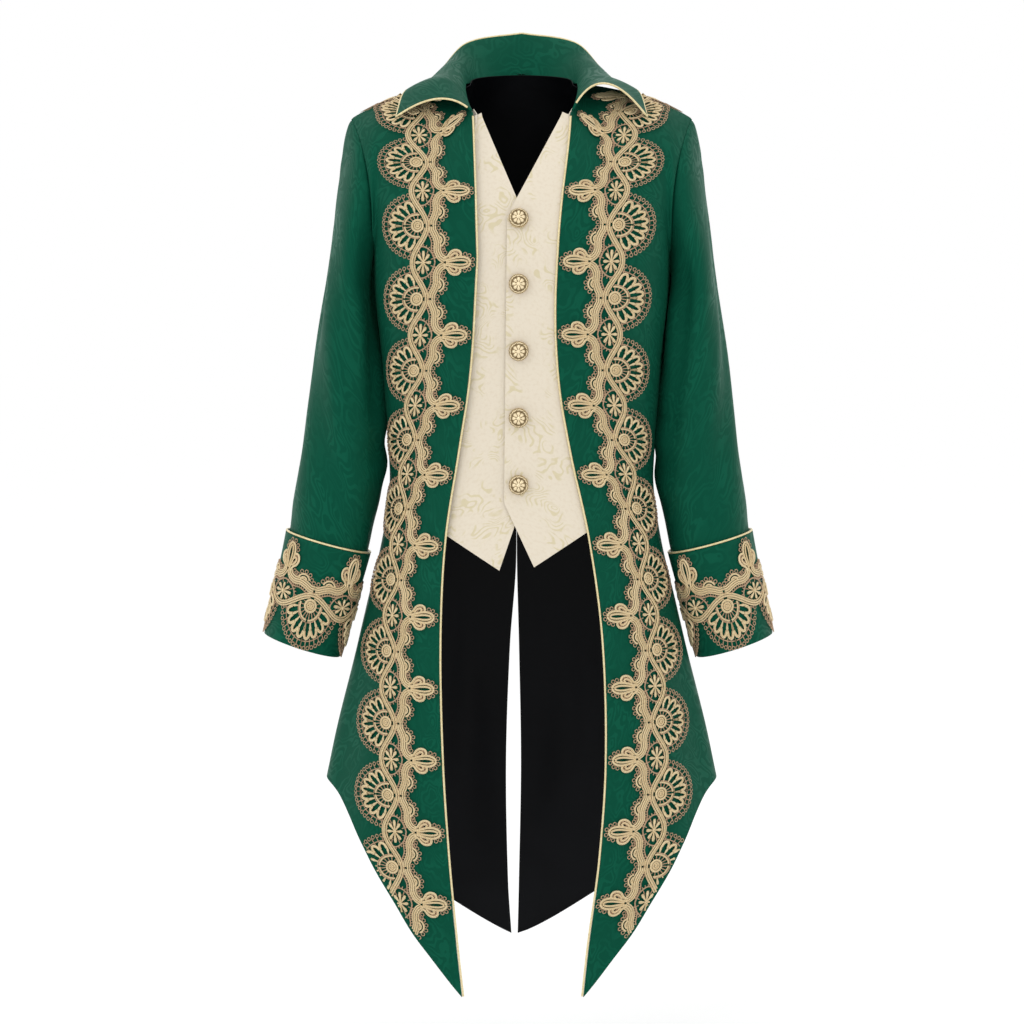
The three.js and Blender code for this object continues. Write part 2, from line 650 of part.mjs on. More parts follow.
function waistcoatGrid(side) {
  const table = waistcoats[side.name];
  const stations = table.flatMap((row, i) =>
    Array.from({ length: Math.max(row.rows, i === table.length - 1 ? 1 : 0) }, (_, step) => {
      const next = table[i + 1] ?? row;
      const share = row.rows ? step / row.rows : 0;
      return Object.fromEntries(
        ["innerX", "innerZ", "outerZ"].map((name) => [name, mix(row[name], next[name], share)]),
      );
    }),
  );
  return stations.map(({ innerX, innerZ, outerZ }) => {
    const level = levelAt(side, outerZ);
    const sewn = [1, 0.5].map((share) =>
      mirrored(panelPoint(panels.front, side, SEWN_ACROSS * share, level), side),
    );
    const edgeX = panelPoint(panels.front, side, 0, level).x * side.sign;
    const open = [0, 0.25, 0.5, 0.75, 1].map((share) =>
      openingPoint(mix(edgeX, innerX, share), mix(outerZ, innerZ, share)),
    );
    return [...sewn, ...open];
  });
}

// A domed button on its shank, on the waistcoat's left panel.
function button(z) {
  const profile = [
    [0, 0],
    [SHANK_RADIUS, 0],
    [SHANK_RADIUS, SHANK_LENGTH],
    [BUTTON_RADIUS, SHANK_LENGTH],
    [BUTTON_RADIUS, SHANK_LENGTH + BUTTON_RIM],
    [BUTTON_RADIUS * 0.72, SHANK_LENGTH + BUTTON_RIM + BUTTON_DOME * 0.62],
    [0, SHANK_LENGTH + BUTTON_RIM + BUTTON_DOME],
  ].map(([radius, height]) => new THREE.Vector2(radius, height));
  const shape = new THREE.LatheGeometry(profile, 10);
  const normal = normalAt(openingPoint, BUTTON_X, z, [2, 2]);
  const outward = normal.multiplyScalar(-Math.sign(normal.y));
  const seat = openingPoint(BUTTON_X, z).addScaledVector(outward, BUTTON_SEAT - WAISTCOAT_DEPTH);
  shape.applyQuaternion(new THREE.Quaternion().setFromUnitVectors(vec([0, 1, 0]), outward));
  return shape.translate(...seat.toArray());
}

// Lace

// All the stations of a length of lace, from fan to fan, as { s, tip, arch, braid, ring, rim }.
function laceRow(repeats, pitch, start) {
  const back = laceStations.slice(1, -1).reverse();
  const repeat = [...laceStations, ...back.map((station) => ({ ...station, at: 1 - station.at }))];
  const rows = Array.from({ length: repeats }, (_, i) =>
    repeat.map((station) => ({ ...station, s: start + (i + station.at) * pitch })),
  ).flat();
  return [...rows, { ...laceStations[0], s: start + repeats * pitch }];
}

// The lace as a flat solid: s along it, t across it and h through it. A closed lace joins its ends.
function flatLace({ repeats, pitch = LACE_PITCH, start = 0, closed = false }) {
  const stations = laceRow(repeats, pitch, start);
  const cellsPerRepeat = 2 * (laceStations.length - 1);
  const count = closed ? stations.length - 1 : stations.length;
  const lines = laceLines.length;
  const corner = (i, j) => (i % count) * lines + j;
  const flat = stations.slice(0, count).flatMap(({ s, ...row }) => laceLines.map((line) => [s, row[line]]));
  const faces = [];
  const rims = [];
  for (let i = 0; i < stations.length - 1; i += 1) {
    for (let j = 0; j < lines - 1; j += 1) {
      const ring = [corner(i, j), corner(i + 1, j), corner(i + 1, j + 1), corner(i, j + 1)];
      const open = laceGaps.some(({ cells, line }) => line === j && cells.includes(i % cellsPerRepeat));
      if (open) {
        const places = [stations[i], stations[i + 1], stations[i + 1], stations[i]].map((station, k) => [
          station.s,
          station[laceLines[j + (k > 1 ? 1 : 0)]],
        ]);
        const middle = [0, 1].map((axis) => places.reduce((sum, place) => sum + place[axis] / 4, 0));
        const inner = places.map((place) => {
          flat.push(place.map((value, axis) => mix(middle[axis], value, GAP_SHARE)));
          return flat.length - 1;
        });
        ring.forEach((_, k) => {
          const next = (k + 1) % 4;
          faces.push([ring[k], ring[next], inner[next]], [ring[k], inner[next], inner[k]]);
          rims.push([inner[next], inner[k]]);
        });
      } else {
        faces.push([ring[0], ring[1], ring[2]], [ring[0], ring[2], ring[3]]);
      }
    }
    rims.push([corner(i, 0), corner(i + 1, 0)], [corner(i + 1, lines - 1), corner(i, lines - 1)]);
  }
  if (!closed) {
    for (let j = 0; j < lines - 1; j += 1) {
      rims.push([corner(0, j + 1), corner(0, j)], [corner(count - 1, j), corner(count - 1, j + 1)]);
    }
  }
  const total = flat.length;
  return {
    points: [0, LACE_WALL].flatMap((h) => flat.map(([s, t]) => [s, t, h])),
    triangles: [
      ...faces.map(([a, b, c]) => [a, c, b]),
      ...faces.map((face) => face.map((i) => i + total)),
      ...rims.flatMap(([a, b]) => [
        [a, b, b + total],
        [a, b + total, a + total],
      ]),
    ],
  };
}

function toManifold(points, triangles) {
  return new wasm.Manifold(
    new wasm.Mesh({
      numProp: 3,
      vertProperties: new Float32Array(points.flat()),
      triVerts: new Uint32Array(triangles.flat()),
    }),
  );
}

function shapeToManifold(shape, low, high) {
  const geometry = new THREE.ExtrudeGeometry(shape, { depth: high - low, bevelEnabled: false });
  geometry.translate(0, 0, low);
  geometry.deleteAttribute("normal");
  geometry.deleteAttribute("uv");
  const merged = mergeVertices(geometry, 1e-4);
  return new wasm.Manifold(
    new wasm.Mesh({
      numProp: 3,
      vertProperties: new Float32Array(merged.attributes.position.array),
      triVerts: new Uint32Array(merged.index.array),
    }),
  );
}

// Arc length of a front panel from its edge at one height, as a table of shares across.
function widthTable(side, z) {
  const STEPS = 28;
  const HEIGHT_SLACK = 0.5;
  const rows = [];
  let previous = null;
  for (let i = 0; i <= STEPS; i += 1) {
    const across = i / STEPS;
    const point = panelPoint(panels.front, side, across, levelAt(side, z, across));
    if (point.z > z - HEIGHT_SLACK) {
      rows.push({ across, length: previous ? rows.at(-1).length + point.distanceTo(previous) : 0 });
      previous = point;
    }
  }
  return rows;
}

// A front's lace, cut off along the hem in the flat and then laid on the cloth, straight across at each height.
function frontLace(side) {
  const HEIGHT_STEP = 10;
  const widths = new Map();
  const acrossAt = (z, t) => {
    const key = Math.round(z);
    if (!widths.has(key)) {
      widths.set(key, widthTable(side, key));
    }
    return read(widths.get(key), "length", t, "across");
  };
  const placeAt = (z, t) => {
    const across = acrossAt(z, t);
    return { across, level: levelAt(side, z, across) };
  };
  const axis = [];
  for (let z = LACE_TOP_Z; z > frontHem[0].z - 2 * HEIGHT_STEP; z -= HEIGHT_STEP) {
    const { across, level } = placeAt(z, LACE_AXIS);
    const point = panelPoint(panels.front, side, across, level);
    const before = axis.at(-1);
    axis.push({ z, point, length: before ? before.length + point.distanceTo(before.point) : 0 });
  }
  const eased = (s) => (s < TOP_LENGTH ? s * TOP_EASE : s - TOP_LENGTH * (1 - TOP_EASE));
  const heightOf = (s) => read(axis, "length", eased(s), "z");
  const drift = (s) => LACE_DRIFT * Math.max(0, 1 - s / DRIFT_LENGTH) ** 2;
  const hemPlace = (t) => {
    let [low, high] = [600, axis.at(-1).length + TOP_LENGTH * (1 - TOP_EASE)];
    for (let i = 0; i < 20; i += 1) {
      const s = (low + high) / 2;
      const z = heightOf(s);
      const above = z > read(frontHem, "across", acrossAt(z, t), "z") + HEM_MARGIN;
      [low, high] = above ? [s, high] : [low, s];
    }
    return low;
  };
  const hemLine = [-20, 10, 35, 65, 95, 140].map(
    (t) => new THREE.Vector2(hemPlace(Math.max(0, t + LACE_EDGE)), t),
  );
  const beyond = new THREE.Shape([...hemLine, new THREE.Vector2(2000, 140), new THREE.Vector2(2000, -20)]);
  const { points, triangles } = flatLace({ repeats: FRONT_REPEATS });
  const pieces = toManifold(points, triangles)
    .subtract(shapeToManifold(beyond, -5, 5))
    .decompose()
    .sort((a, b) => b.volume() - a.volume());
  const mesh = pieces[0].getMesh();
  const positions = [];
  for (let i = 0; i < mesh.vertProperties.length; i += mesh.numProp) {
    const [s, t, h] = mesh.vertProperties.slice(i, i + 3);
    const { across, level } = placeAt(heightOf(s), t + LACE_EDGE + drift(s));
    positions.push(...mirrored(liftedPoint(panels.front, side, across, level, LACE_LIFT + h), side).toArray());
  }
  return solidFrom(positions, Array.from(mesh.triVerts));
}

// A cuff's lace, a closed ring whose leaves point up to the cord.
function cuffLace(side) {
  const { points, triangles } = flatLace({ repeats: CUFF_REPEATS, pitch: 1, closed: true });
  const positions = points.flatMap(([s, t, h]) => {
    const turn = (s / CUFF_REPEATS) * 2 * Math.PI;
    const down = (CUFF_LACE_EDGE + t) / (CUFF_TOP_Z - CUFF_END_Z);
    return cuffPoint(side, turn, down, CUFF_LACE_LIFT + h).toArray();
  });
  return solidFrom(positions, triangles.flat());
}

// Assembly

const coat = new THREE.Group();

function add(name, geometry, finish) {
  const mesh = new THREE.Mesh(geometry, new THREE.MeshStandardMaterial(FINISHES[finish]));
  mesh.name = name;
  coat.add(mesh);
}

for (const side of sides) {
  const tailLining = { range: { from: WAIST_ROW, hemRise: 6 }, thickness: LINING_WALL, lift: -LINING_DEPTH };
  add(`front_${side.name}`, panelWall(panels.front, side, FRONT_COLUMNS, { thickness: COAT_WALL }), "brocade");
  add(`back_${side.name}`, panelWall(panels.back, side, BACK_COLUMNS, { thickness: COAT_WALL }), "brocade");
  add(`tail_lining_${side.name}`, panelWall(panels.back, side, BACK_COLUMNS, tailLining), "lining");
  for (const half of sleeveHalves) {
    add(`${half.name}_${side.name}`, sleeveWall(side, half), "brocade");
  }
  const cuff = grid(2, 16, (down, share) => cuffPoint(side, share * 2 * Math.PI, down));
  add(`cuff_${side.name}`, wall(cuff, { thickness: COAT_WALL, sign: -side.sign, ring: true }), "brocade");
  const depth = side.name === "left" ? WAISTCOAT_DEPTH : OVERLAP_DEPTH;
  add(
    `waistcoat_${side.name}`,
    wall(waistcoatGrid(side), { thickness: WAISTCOAT_WALL, lift: -depth, sign: side.sign }),
    "ivory",
  );
  add(`piping_front_${side.name}`, frontPiping(side), "piping");
  add(`piping_cuff_${side.name}`, cuffPiping(side), "piping");
  add(`lace_front_${side.name}`, frontLace(side), "lace");
  add(`lace_cuff_${side.name}`, cuffLace(side), "lace");
}

const collar = grid(3, 24, (across, share) => collarPoint(mix(1, -1, share), across));
add("collar", wall(collar, { thickness: COLLAR_WALL, lift: COLLAR_WALL / 2 }), "brocade");
add("piping_collar", collarPiping(), "piping");
add("neck_lining", liningYoke(), "lining");
buttonHeights.forEach((z, i) => add(`button_${i + 1}`, button(z), "button"));

export default coat;
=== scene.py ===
"""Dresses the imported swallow-tailed coat: brocade, guipure lace, piping, domed buttons and black linings.

The surfaces follow the same sizes as the part's source, in millimetres, and go to metres as meshes are made.
Left is the wearer's left, at +X. The front faces -Y.
"""

import math

import bmesh
import bpy
import numpy as np
from mathutils import Matrix, Vector


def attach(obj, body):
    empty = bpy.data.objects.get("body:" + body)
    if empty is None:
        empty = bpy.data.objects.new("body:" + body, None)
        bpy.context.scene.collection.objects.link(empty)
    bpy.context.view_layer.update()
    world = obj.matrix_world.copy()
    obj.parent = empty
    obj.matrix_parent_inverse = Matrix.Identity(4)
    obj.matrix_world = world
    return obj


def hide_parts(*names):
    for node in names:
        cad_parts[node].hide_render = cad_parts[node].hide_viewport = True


MM = 0.001
SIDES = {"left": 1, "right": -1}

# Cloth and trim
COAT_WALL = 2
LINING_WALL = 1
WAISTCOAT_WALL = 1.5
COLLAR_WALL = 2.4
SEAM_GAP = 0.4
LINING_DEPTH = COAT_WALL + 0.6
WAISTCOAT_DEPTH = COAT_WALL + 1.5
OVERLAP_DEPTH = WAISTCOAT_DEPTH + WAISTCOAT_WALL + 2
PIPING_RADIUS = 1.3
PIPING_OFFSET = PIPING_RADIUS + 0.3  # nearer to the edge than in the source
LACE_LIFT = 1.4  # lower than in the source, since the threads stand up from it
LACE_PITCH = 88
LACE_EDGE = 3
FRONT_REPEATS = 12
CUFF_REPEATS = 4
CUFF_LACE_EDGE = 4
CUFF_LACE_LIFT = 0.9
CUFF_LACE_REACH = 1.05  # the cuffs' lace is this many times as wide as the fronts'
HEM_MARGIN = 5
ARMPIT_Z = -215
SIDE_CORNER_Z = -857
CHEST_SPAN = 170
CHEST_ROWS = 0.22  # share of a panel's rows that lie above the armpit
CUT_APART = 370  # from where one piece is cut out of the cloth to where the next one is
WELD = 0.01  # points nearer than this count as one


class Table:
    """Named columns of numbers against the first one, read on a smooth curve through the rows."""

    def __init__(self, names, *rows):
        columns = np.array(rows, float).T
        self.turn = 1 if columns[0][1] > columns[0][0] else -1
        self.keys = columns[0] * self.turn
        self.columns = dict(zip(names.split(), columns))

    def at(self, key, name):
        keys, values = self.keys, self.columns[name]
        key = np.asarray(key, float) * self.turn
        b = np.clip(np.searchsorted(keys, key), 1, len(keys) - 1)
        a = b - 1
        before, after = np.maximum(a - 1, 0), np.minimum(b + 1, len(keys) - 1)
        span = keys[b] - keys[a]
        t = np.clip((key - keys[a]) / span, 0, 1)
        leave = (values[b] - values[before]) / (keys[b] - keys[before]) * span
        arrive = (values[after] - values[a]) / (keys[after] - keys[a]) * span
        return (
            (2 * t**3 - 3 * t**2 + 1) * values[a]
            + (t**3 - 2 * t**2 + t) * leave
            + (3 * t**2 - 2 * t**3) * values[b]
            + (t**3 - t**2) * arrive
        )

    def points(self, key, names):
        return np.stack([self.at(key, name) for name in names.split()], -1)


# Half width, how far front and back stand out, and the power on the ellipse, down the body
BODY = Table(
    "z half front back power",
    (ARMPIT_Z, 184, 118, 108, 0.62),
    (-270, 181.5, 118, 106, 0.66),
    (-332, 175, 114, 102, 0.72),
    (-395, 170.5, 109, 97, 0.8),
    (-457, 166, 104, 93, 0.85),
    (-500, 165, 103, 94, 0.85),
    (-570, 175, 108, 103, 0.85),
    (-646, 193, 116, 114, 0.85),
    (-722, 211, 124, 124, 0.85),
    (-798, 229, 131, 132, 0.85),
    (SIDE_CORNER_Z, 241, 136, 138, 0.85),
    (-1000, 271, 143, 147, 0.85),
    (-1120, 294, 148, 154, 0.85),
)

# How far each front edge lies from the middle plane
FRONT_EDGES = Table(
    "z left right",
    (-42, 61, 61),
    (-149, 50, 54),
    (-270, 42, 58),
    (-366, 46, 65),
    (-451, 60, 78),
    (-561, 84, 95),
    (-682, 100, 101),
    (-828, 104, 98),
    (-950, 96, 90),
    (-1054, 82, 80),
    (-1118, 75, 73),
)

# The back's middle seam and vent: how far each edge lies towards its own side
BACK_EDGES = Table(
    "z left right",
    (16, 0.2, 0.2),
    (-215, -1.8, 2.2),
    (-560, -5.8, 6.2),
    (-620, -5.4, 7.2),
    (-717, -2.9, 14.6),
    (-874, -0.3, 19.8),
    (-1033, -2.9, 17.2),
    (-1106, -4.5, 12.7),
)

# Height of each hem from the middle edge (0) to the side seam (1)
FRONT_HEM = Table(
    "across z",
    (0, -1117),
    (0.08, -1073),
    (0.15, -1040),
    (0.22, -1005),
    (0.31, -970),
    (0.41, -937),
    (0.55, -904),
    (0.76, -872),
    (1, SIDE_CORNER_Z),
)
BACK_HEM = Table(
    "across z", (0, -1105), (0.17, -1052), (0.24, -1033), (0.5, -955), (0.75, -888), (1, SIDE_CORNER_Z)
)

# Soft flutes of the skirt: angle round the body from the front, width in degrees, height at the hem
FLUTE_TOP_Z = -520
FLUTES = ((62, 13, -5), (80, 9, 5), (101, 9, -7), (119, 10, 7), (141, 11, -7), (160, 9, 5))

NECK_CORNER = (61, -64, -42)
NECK_SIDE = (71, 5, -2)
NECK_BACK = (0.2, 72, 16)
SHOULDER_TIP = (212, 0, -46)
FRONT_NECKLINE = (NECK_CORNER, (70, -38, -26), NECK_SIDE)
BACK_NECKLINE = (NECK_BACK, (50, 72, 17), (73, 45, 14), NECK_SIDE)
SHOULDER_SEAM = (NECK_SIDE, (160, 3, -12), SHOULDER_TIP)
NECK_SHARE = 0.28

# How each column of a panel leaves the armpit level and comes in to the shoulder
FRONT_RISE = Table(
    "across upX upY upZ inX inY inZ",
    (0, 2, 0, 60, -3, -22, -50),
    (0.28, 2, 2, 80, 6, -62, -26),
    (0.6, -2, -3, 80, 5, -72, -26),
    (0.8, -4, -18, 60, -3, -76, -30),
    (1, -5, -76, 12, -28, -80, -50),
)
BACK_RISE = Table(
    "across upX upY upZ inX inY inZ",
    (0, 0, 8, 90, 0, 24, -52),
    (0.28, 1, 6, 90, 2, 58, -24),
    (0.6, -2, 6, 80, -2, 66, -22),
    (0.8, -5, 22, 60, -6, 72, -28),
    (1, -7, 74, 12, -32, 80, -50),
)
PANELS = {
    "front": dict(edges=FRONT_EDGES, hem=FRONT_HEM, rise=FRONT_RISE, neckline=FRONT_NECKLINE, middle=0),
    "back": dict(edges=BACK_EDGES, hem=BACK_HEM, rise=BACK_RISE, neckline=BACK_NECKLINE, middle=math.pi),
}

# Sleeve rings: middle, half width, half depth and lean in degrees
SLEEVE = Table(
    "z x y half depth lean",
    (-252, 214, 3, 29, 73, 0),
    (-332, 216, 1, 39, 67, 4),
    (-395, 218, -2, 45.5, 60, 8),
    (-457, 221, -5, 51.5, 54, 11),
    (-495, 226, -7, 53.5, 51, 12),
    (-532, 233, -9, 52.5, 49.5, 13.5),
    (-572, 239, -10, 50.7, 48.5, 15.5),
    (-700, 271, -14, 46, 45.5, 18),
)
SLEEVE_TOP_Z = -252
SLEEVE_SWING = 4
SLEEVE_HALVES = {"top_sleeve": (50, 290), "under_sleeve": (290, 410)}
ARMHOLE_GAP = -0.8  # below 0 the sleeve is tucked under the panels
CAP_SHARE = 5 / 13  # share of a sleeve's rows that make its cap
CUFF_TOP_Z = -572
CUFF_END_Z = -700
SLEEVE_TUCK = 3
CUFF_CLEARANCE = (2.2, 1.6)

# Waistcoat panels from the neck to the point: inner edge and height of the outer edge
WAISTCOATS = {
    "left": ((50, -40, -44), (-6, -145, -150), (-18, -168, -172), (-22, -516, -500), (15, -594, -551)),
    "right": ((-50, -40, -44), (-6, -145, -150), (8, -178, -176), (14, -479, -480), (-28, -598, -556)),
}
WAISTCOAT_AT = (0, 0.16, 0.21, 0.86, 1)
UNDER_SHARE = 0.14  # share of a waistcoat panel's columns that lie under the front, sewn to it
SEWN_ACROSS = 0.08
YOKE_END = 0.9  # how far across the shoulder the neck lining goes
YOKE_ROWS = 0.3  # share of the back's rows that it goes down
YOKE_DEPTH = COAT_WALL + 5.5

# Collar: middle and edge of each cross curve, from the front corner (0) to the middle of the back (1)
COLLAR = Table(
    "along midX midY midZ edgeX edgeY edgeZ",
    (0, 95, -62, 12, 152, -58, -45),
    (0.2, 92, -28, 18, 143, -16, -13),
    (0.4, 84, 12, 26, 120, 26, 0),
    (0.58, 79, 46, 42, 99, 64, 22),
    (0.75, 60, 70, 42, 68, 86, 54),
    (1, 0, 79, 43, 0, 90, 66),
)
COLLAR_ROLL = {1: 18, -1: -18}
ROLL_SHARE = 0.22
COLLAR_SEAM = 2
STAND_TUCK = 0.14

BUTTON_X = -4
BUTTON_HEIGHTS = (-171, -250, -331, -412, -494)
BUTTON_SEAT = 0.76
BUTTON_RADIUS = 11.8
BUTTON_RELIEF = 1.5
DOME_SHARE = 0.72  # share of a button's rings that make its dome
BUTTON_DOME = 5.5
BUTTON_RIM = 1.6
SHANK_RADIUS = 3
SHANK_LENGTH = 2.5

# A button from its rim over its back to the foot of its shank: how far along, radius and height
BUTTON_BACK = np.transpose([
    (0, BUTTON_RADIUS, SHANK_LENGTH + BUTTON_RIM),
    (0.15, BUTTON_RADIUS + 0.3, SHANK_LENGTH + 0.8),
    (0.3, BUTTON_RADIUS, SHANK_LENGTH),
    (0.5, SHANK_RADIUS, SHANK_LENGTH),
    (0.75, SHANK_RADIUS, 1),
    (1, SHANK_RADIUS * 0.6, 0),
])

# Points that the cloth round them faces away from
COAT_MIDDLE = (0, 0, 0)
NECK_MIDDLE = (0, 0, -150)
SLEEVE_MIDDLE = (225, -5, 0)
CUFF_MIDDLE = (255, -12, 0)
WAIST_LEVEL = 250  # where the lining of the tails starts, below the armpit


# Surfaces


def mix(a, b, share):
    return a + (b - a) * share


def ease(low, high, value):
    share = np.clip((np.asarray(value, float) - low) / (high - low), 0, 1)
    return share * share * (3 - 2 * share)


def bump(value, middle, width):
    return np.exp(-(((value - middle) / width) ** 2))


def bezier(corners, share):
    """Points at these shares of the curve that the corners draw."""
    corners = [np.asarray(corner, float) for corner in corners]
    share = np.asarray(share, float)[..., None]
    while len(corners) > 1:
        corners = [mix(a, b, share) for a, b in zip(corners, corners[1:])]
    return corners[0]


def stack(x, y, z):
    return np.stack(np.broadcast_arrays(x, y, z), -1).astype(float)


def unit(vectors):
    """Each vector, one long."""
    return vectors / np.maximum(np.linalg.norm(vectors, axis=-1, keepdims=True), 1e-9)


def mirrored(points, side):
    """Points worked out on the left, put on their own side."""
    return np.asarray(points) * (side, 1, 1)


def body_point(angle, z):
    """A point below the armpit: angle 0 is the middle of the front, and half a turn that of the back."""
    half, power = BODY.at(z, "half"), BODY.at(z, "power")
    swell = ease(FLUTE_TOP_Z, SIDE_CORNER_Z, z)
    fluted = sum(height * bump(np.degrees(angle), middle, width) for middle, width, height in FLUTES)
    out = 1 + swell * fluted / half
    reach = np.where(np.cos(angle) > 0, BODY.at(z, "front"), BODY.at(z, "back"))
    x, y = (np.sign(turned) * np.abs(turned) ** power for turned in (np.sin(angle), -np.cos(angle)))
    return stack(half * out * x, reach * out * y, z)


def side_name(side):
    return "left" if side > 0 else "right"


def skirt_point(panel, side, across, z):
    """Across 0 is the panel's middle edge and 1 its side seam."""
    reach = panel["edges"].at(z, side_name(side)) / BODY.at(z, "half")
    edge = np.arcsin(np.sign(reach) * np.abs(reach) ** (1 / BODY.at(z, "power")))
    return body_point(np.abs(panel["middle"] - mix(edge, math.pi / 2, across)), z)


def chest_point(panel, side, across, up):
    across, up = np.broadcast_arrays(np.asarray(across, float), np.asarray(up, float))
    start = skirt_point(panel, side, across, np.full(across.shape, float(ARMPIT_Z)))
    on_neck = bezier(panel["neckline"], np.clip(across / NECK_SHARE, 0, 1))
    on_shoulder = bezier(SHOULDER_SEAM, np.clip((across - NECK_SHARE) / (1 - NECK_SHARE), 0, 1))
    end = np.where((across < NECK_SHARE)[..., None], on_neck, on_shoulder)
    leave = start + panel["rise"].points(across, "upX upY upZ")
    arrive = end + panel["rise"].points(across, "inX inY inZ")
    return bezier([start, leave, arrive, end], up)


def panel_point(panel, side, across, level):
    """A level runs from -CHEST_SPAN at the shoulder through 0 at the armpit down to the hem."""
    across, level = np.broadcast_arrays(np.asarray(across, float), np.asarray(level, float))
    above = chest_point(panel, side, across, np.clip(-level / CHEST_SPAN, 0, 1))
    below = skirt_point(panel, side, across, ARMPIT_Z - np.maximum(level, 0))
    return np.where((level < 0)[..., None], above, below)


def panel_normal(panel, side, across, level):
    across = np.clip(across, 0.005, 0.995)
    level = np.maximum(level, 1 - CHEST_SPAN)
    along_u, along_v = (
        panel_point(panel, side, across + over, level + below)
        - panel_point(panel, side, across - over, level - below)
        for over, below in ((0.004, 0), (0, 0.8))
    )
    facing = -1 if panel["middle"] == 0 else 1
    return unit(np.cross(along_u, along_v)) * facing


def on_panel(panel, side, across, level, lift=0.0):
    """A point on a panel, moved along its outward normal, on its own side of the coat."""
    lift = np.asarray(lift, float)[..., None]
    point = panel_point(panel, side, across, level) + panel_normal(panel, side, across, level) * lift
    return mirrored(point, side)


def sleeve_ring(z, turn, spread=0.0):
    """Turn 0 is the inner side, a quarter turn the front and half a turn the outer side."""
    lean = np.radians(SLEEVE.at(z, "lean"))
    reach = -(SLEEVE.at(z, "half") + spread) * np.cos(turn)
    return stack(
        SLEEVE.at(z, "x") + reach * np.cos(lean),
        SLEEVE.at(z, "y") - (SLEEVE.at(z, "depth") + spread) * np.sin(turn),
        z + reach * np.sin(lean),
    )


def sleeve_cap(side, turn, down):
    """The cap, from the armhole (0) out and down to the sleeve's first ring (1)."""
    share = turn / math.pi
    front = chest_point(PANELS["front"], side, 1.0, np.clip(share, 0, 1))
    back = chest_point(PANELS["back"], side, 1.0, np.clip(2 - share, 0, 1))
    start = np.where((share <= 1)[..., None], front, back) + (ARMHOLE_GAP, 0, 0)
    end = sleeve_ring(np.full(turn.shape, float(SLEEVE_TOP_Z)), turn)
    drop = np.linalg.norm(end - start, axis=-1, keepdims=True)
    height = 0.5 - 0.5 * np.cos(turn)
    leave = stack(mix(0.1, 0.06, height), -0.12 * np.sin(turn), mix(-0.3, -0.02, height))
    arrive = stack(mix(0, -0.07, height), 0, mix(0.3, 0.5, height))
    return bezier([start, start + leave * drop, end + arrive * drop, end], down)


def swung(points, side, z):
    """Sleeve points on their own side, with both sleeves swung a little to the wearer's right."""
    share = np.maximum(0, (SLEEVE_TOP_Z - z) / (SLEEVE_TOP_Z - CUFF_END_Z))
    return mirrored(points - stack(side * SLEEVE_SWING * share, 0, 0), side)


def sleeve_point(side, degrees, down):
    """Down 0 is the armhole, CAP_SHARE the first ring and 1 the wrist."""
    turn = np.radians(np.mod(degrees, 360))
    arm = np.clip((down - CAP_SHARE) / (1 - CAP_SHARE), 0, 1)
    z = mix(SLEEVE_TOP_Z, CUFF_END_Z + SLEEVE_TUCK, arm)
    cap = sleeve_cap(side, turn, np.clip(down / CAP_SHARE, 0, 1))
    return swung(np.where((down <= CAP_SHARE)[..., None], cap, sleeve_ring(z, turn)), side, z)


def cuff_point(side, turn, down, lift=0.0):
    z = mix(CUFF_TOP_Z, CUFF_END_Z, down)
    return swung(sleeve_ring(z, turn, mix(*CUFF_CLEARANCE, down) + COAT_WALL + lift), side, z)


def collar_point(along, across):
    """Along runs from -1 at the right front corner to 1 at the left, across from the neckline to the edge."""
    side = np.where(along < 0, -1, 1)
    part = 1 - np.abs(along)
    roll = np.where(side > 0, COLLAR_ROLL[1], COLLAR_ROLL[-1]) * np.maximum(0, 1 - part / ROLL_SHARE)
    front = bezier(FRONT_NECKLINE, np.clip(part / 0.4, 0, 1))
    back = bezier(BACK_NECKLINE, np.clip((1 - part) / 0.6, 0, 1))
    foot = np.where((part < 0.4)[..., None], front, back) + (0, 0, COLLAR_SEAM)
    middle = COLLAR.points(part, "midX midY midZ") + stack(0, 0, roll)
    edge = COLLAR.points(part, "edgeX edgeY edgeZ")
    return bezier([foot, middle, edge], across) * stack(side, 1, 1)


def level_of(side, z, across=0.0):
    """The level at which a front reaches a height, at its edge or further across."""
    z, across = np.broadcast_arrays(np.asarray(z, float), np.asarray(across, float))
    low, high = np.zeros(z.shape), np.ones(z.shape)
    for _ in range(18):
        middle = (low + high) / 2
        under = chest_point(PANELS["front"], side, across, middle)[..., 2] < z
        low, high = np.where(under, middle, low), np.where(under, high, middle)
    return np.where(z < ARMPIT_Z, ARMPIT_Z - z, -low * CHEST_SPAN)


def opening_point(x, z):
    """The coat's outer face carried on between its front edges."""
    x, z = np.broadcast_arrays(np.asarray(x, float), np.asarray(z, float))
    found = []
    for side in SIDES.values():
        level = level_of(side, z)
        edge = panel_point(PANELS["front"], side, np.zeros(z.shape), level)
        low = np.minimum(z, ARMPIT_Z)
        at_edge = skirt_point(PANELS["front"], side, np.zeros(z.shape), low)[..., 1]
        bow = body_point(np.zeros(z.shape), low)[..., 1] - at_edge
        fade = 1 - np.maximum(0, -level / CHEST_SPAN)
        found.append(edge[..., 1] + bow * fade * (1 - (x / edge[..., 0]) ** 2))
    return stack(x, np.where(x < 0, found[1], found[0]), z)


# Cloth


def grid_normals(points, ring=False):
    """The way each point of a grid faces. A ring's first and last columns are the same."""
    if ring:
        wide = np.concatenate([points[:, -2:-1], points, points[:, 1:2]], axis=1)
        across = wide[:, 2:] - wide[:, :-2]
    else:
        across = np.gradient(points, axis=1)
    return unit(np.cross(across, np.gradient(points, axis=0)))


def walked(points, axis):
    """Length walked along the rows or columns of a grid of points."""
    steps = np.linalg.norm(np.diff(points, axis=axis), axis=-1)
    return np.concatenate([np.zeros_like(steps.take([0], axis)), np.cumsum(steps, axis=axis)], axis=axis)


